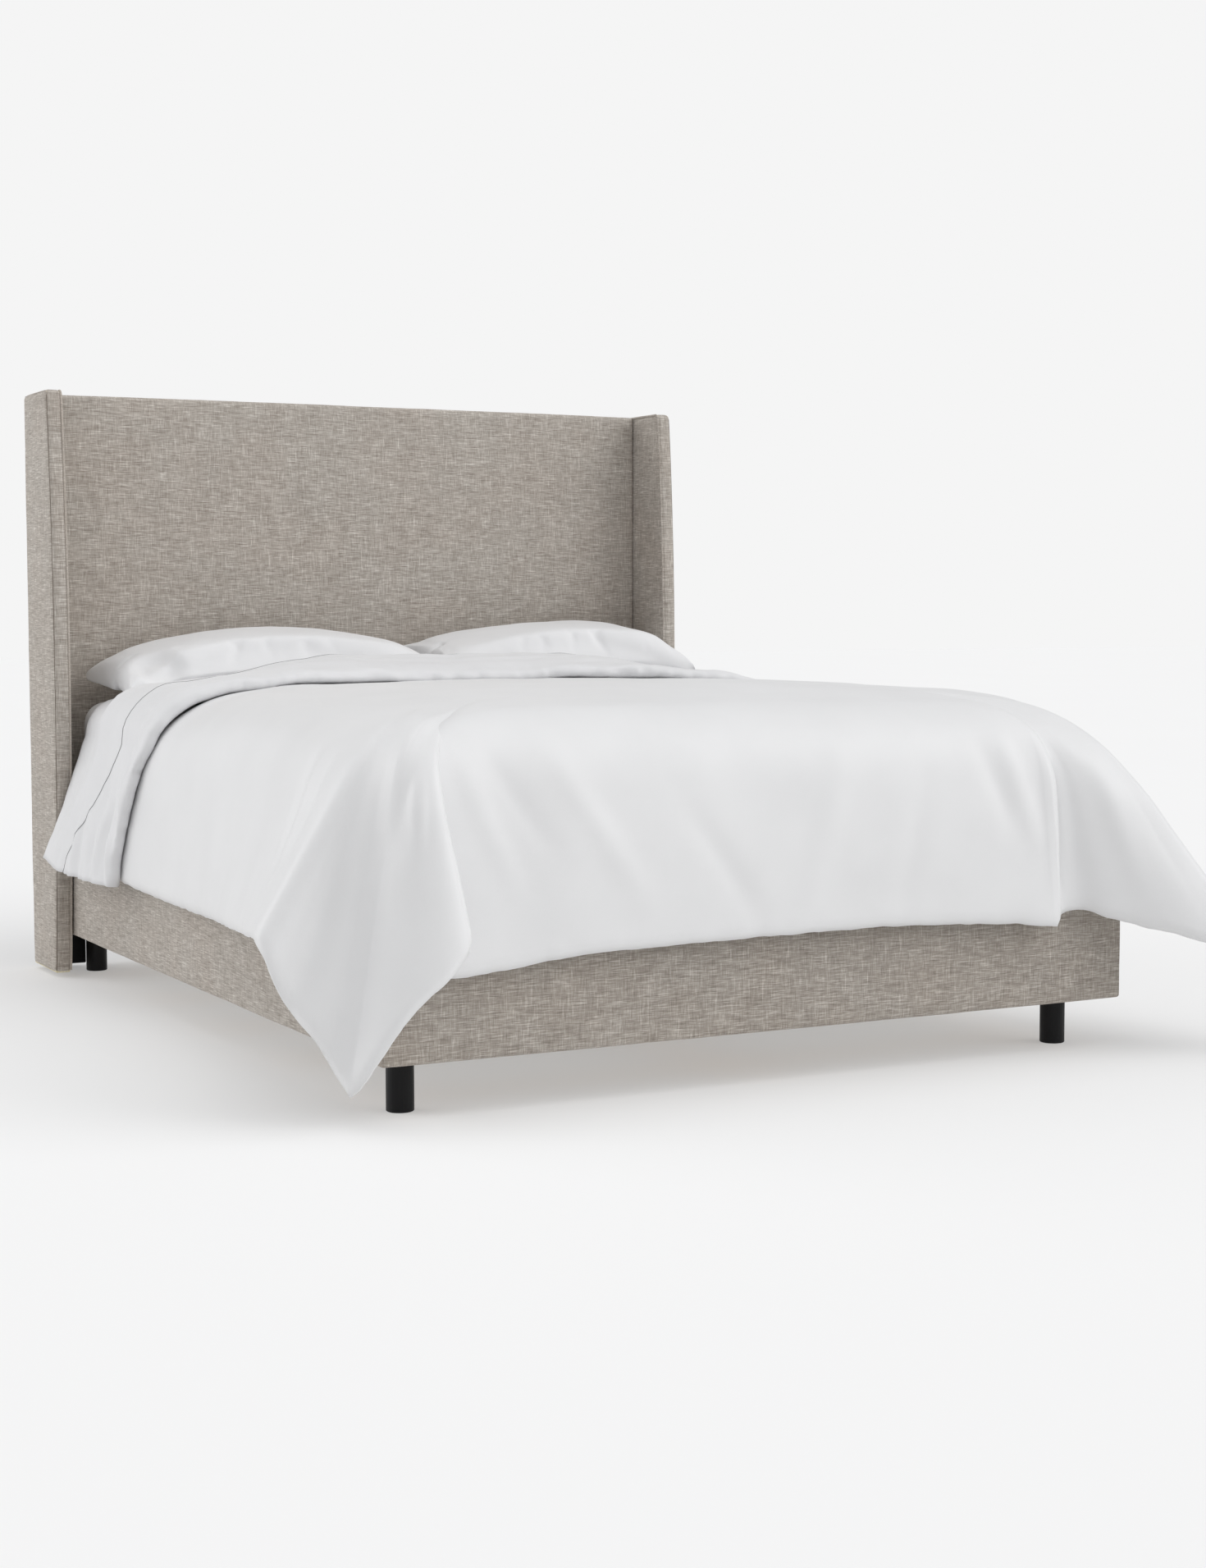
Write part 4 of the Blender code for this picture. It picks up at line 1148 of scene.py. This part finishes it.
KEPT = {
    "headboard_panel": PLY, "headboard_top_rail": PINE_X, "headboard_lower_rail": PINE_X,
    "foot_rail": PINE_X, "centre_beam": PINE_Y,
    **{f"slat_{i}": PINE_X for i in range(1, 6)},
    **{f"{kind}_{i}": look for kind, look in (("centre_leg", BLACK), ("glide", NYLON)) for i in (1, 2)},
    **{f"{kind}_{side}": look for side in SIDES for kind, look in (
        ("headboard_stile", PINE_Z), ("headboard_foot", BLACK), ("wing_board", PLY),
        ("side_rail", PINE_Y), ("ledger", PINE_Y))},
    **{f"{kind}_{end}_{side}": look for side in SIDES for end in ("front", "rear") for kind, look in (
        ("corner_block", PINE_X), ("leg", BLACK), ("bracket", ZINC), ("bolt", ZINC))},
}
for name, material in KEPT.items():
    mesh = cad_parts[name].data
    mesh.materials.clear()
    mesh.materials.append(material)

# ---------------------------------------------------------------- floor, light and camera

FLOOR_REACH = 40
FLOOR_GLOW = 0.30              # lifts the floor to the backdrop's tone
BACKDROP, AMBIENT = 0.913, 0.46
LENS = 55.47
EYE = (-2.396, FOOT - 3.832, 0.892)
YAW, PITCH, ROLL = (math.radians(a) for a in (27.758, 4.115, -0.105))

ground = bpy.data.meshes.new("studio_floor")
ground.from_pydata([(x * FLOOR_REACH, y * FLOOR_REACH, 0)
                    for x, y in ((-1, -1), (1, -1), (1, 1), (-1, 1))], [], [(0, 1, 2, 3)])
floor_look = Nodes("studio_floor", 0.9, Specular_IOR_Level=0.0, Emission_Color=(1, 1, 1, 1),
                   Emission_Strength=FLOOR_GLOW)
floor_look.colour(floor_look.ramp(floor_look.cloud(0.6, 2.0), (0.3, (0.598, 0.598, 0.598)),
                                  (0.7, (0.602, 0.602, 0.602))))
ground.materials.append(floor_look.material)
studio_floor = bpy.data.objects.new("studio_floor", ground)
scene.collection.objects.link(studio_floor)

world = bpy.data.worlds.new("studio")
scene.world = world
world.use_nodes = True
sky = world.node_tree
back = sky.nodes["Background"]
back.inputs["Color"].default_value = (BACKDROP, BACKDROP, BACKDROP, 1)
back.inputs["Strength"].default_value = 1.0
ambient = sky.nodes.new("ShaderNodeBackground")
ambient.inputs["Color"].default_value = (0.985, 0.99, 1.0, 1)
ambient.inputs["Strength"].default_value = AMBIENT
seen = sky.nodes.new("ShaderNodeLightPath")
choose = sky.nodes.new("ShaderNodeMixShader")
sky.links.new(seen.outputs["Is Camera Ray"], choose.inputs[0])
sky.links.new(ambient.outputs[0], choose.inputs[1])
sky.links.new(back.outputs[0], choose.inputs[2])
sky.links.new(choose.outputs[0], sky.nodes["World Output"].inputs[0])


def soft_sun(name, direction, strength, spread):
    """A large white lamp, shining along a direction."""
    light = bpy.data.lights.new(name, "SUN")
    light.energy = strength
    light.angle = math.radians(spread)
    lamp = bpy.data.objects.new(name, light)
    scene.collection.objects.link(lamp)
    lamp.rotation_mode = "QUATERNION"
    lamp.rotation_quaternion = Vector(direction).to_track_quat("-Z", "Y")


soft_sun("side_light", (0.78, -0.60, -0.32), 1.10, 50)
soft_sun("front_light", (-0.78, 0.62, -0.62), 1.22, 50)
soft_sun("top_light", (0.05, 0.10, -1.00), 0.80, 60)

camera = bpy.data.cameras.new("camera")
camera.sensor_width = 36
camera.lens = LENS
camera.clip_end = 200
eye = bpy.data.objects.new("camera", camera)
scene.collection.objects.link(eye)
ahead = Vector((math.sin(YAW) * math.cos(PITCH), math.cos(YAW) * math.cos(PITCH), -math.sin(PITCH)))
level = Vector((math.cos(YAW), -math.sin(YAW), 0))
upright = level.cross(ahead)
right = level * math.cos(ROLL) + upright * math.sin(ROLL)
up = upright * math.cos(ROLL) - level * math.sin(ROLL)
eye.matrix_world = Matrix.Translation(EYE) @ Matrix((right, up, -ahead)).transposed().to_4x4()
scene.camera = eye
scene.view_settings.view_transform = "Standard"
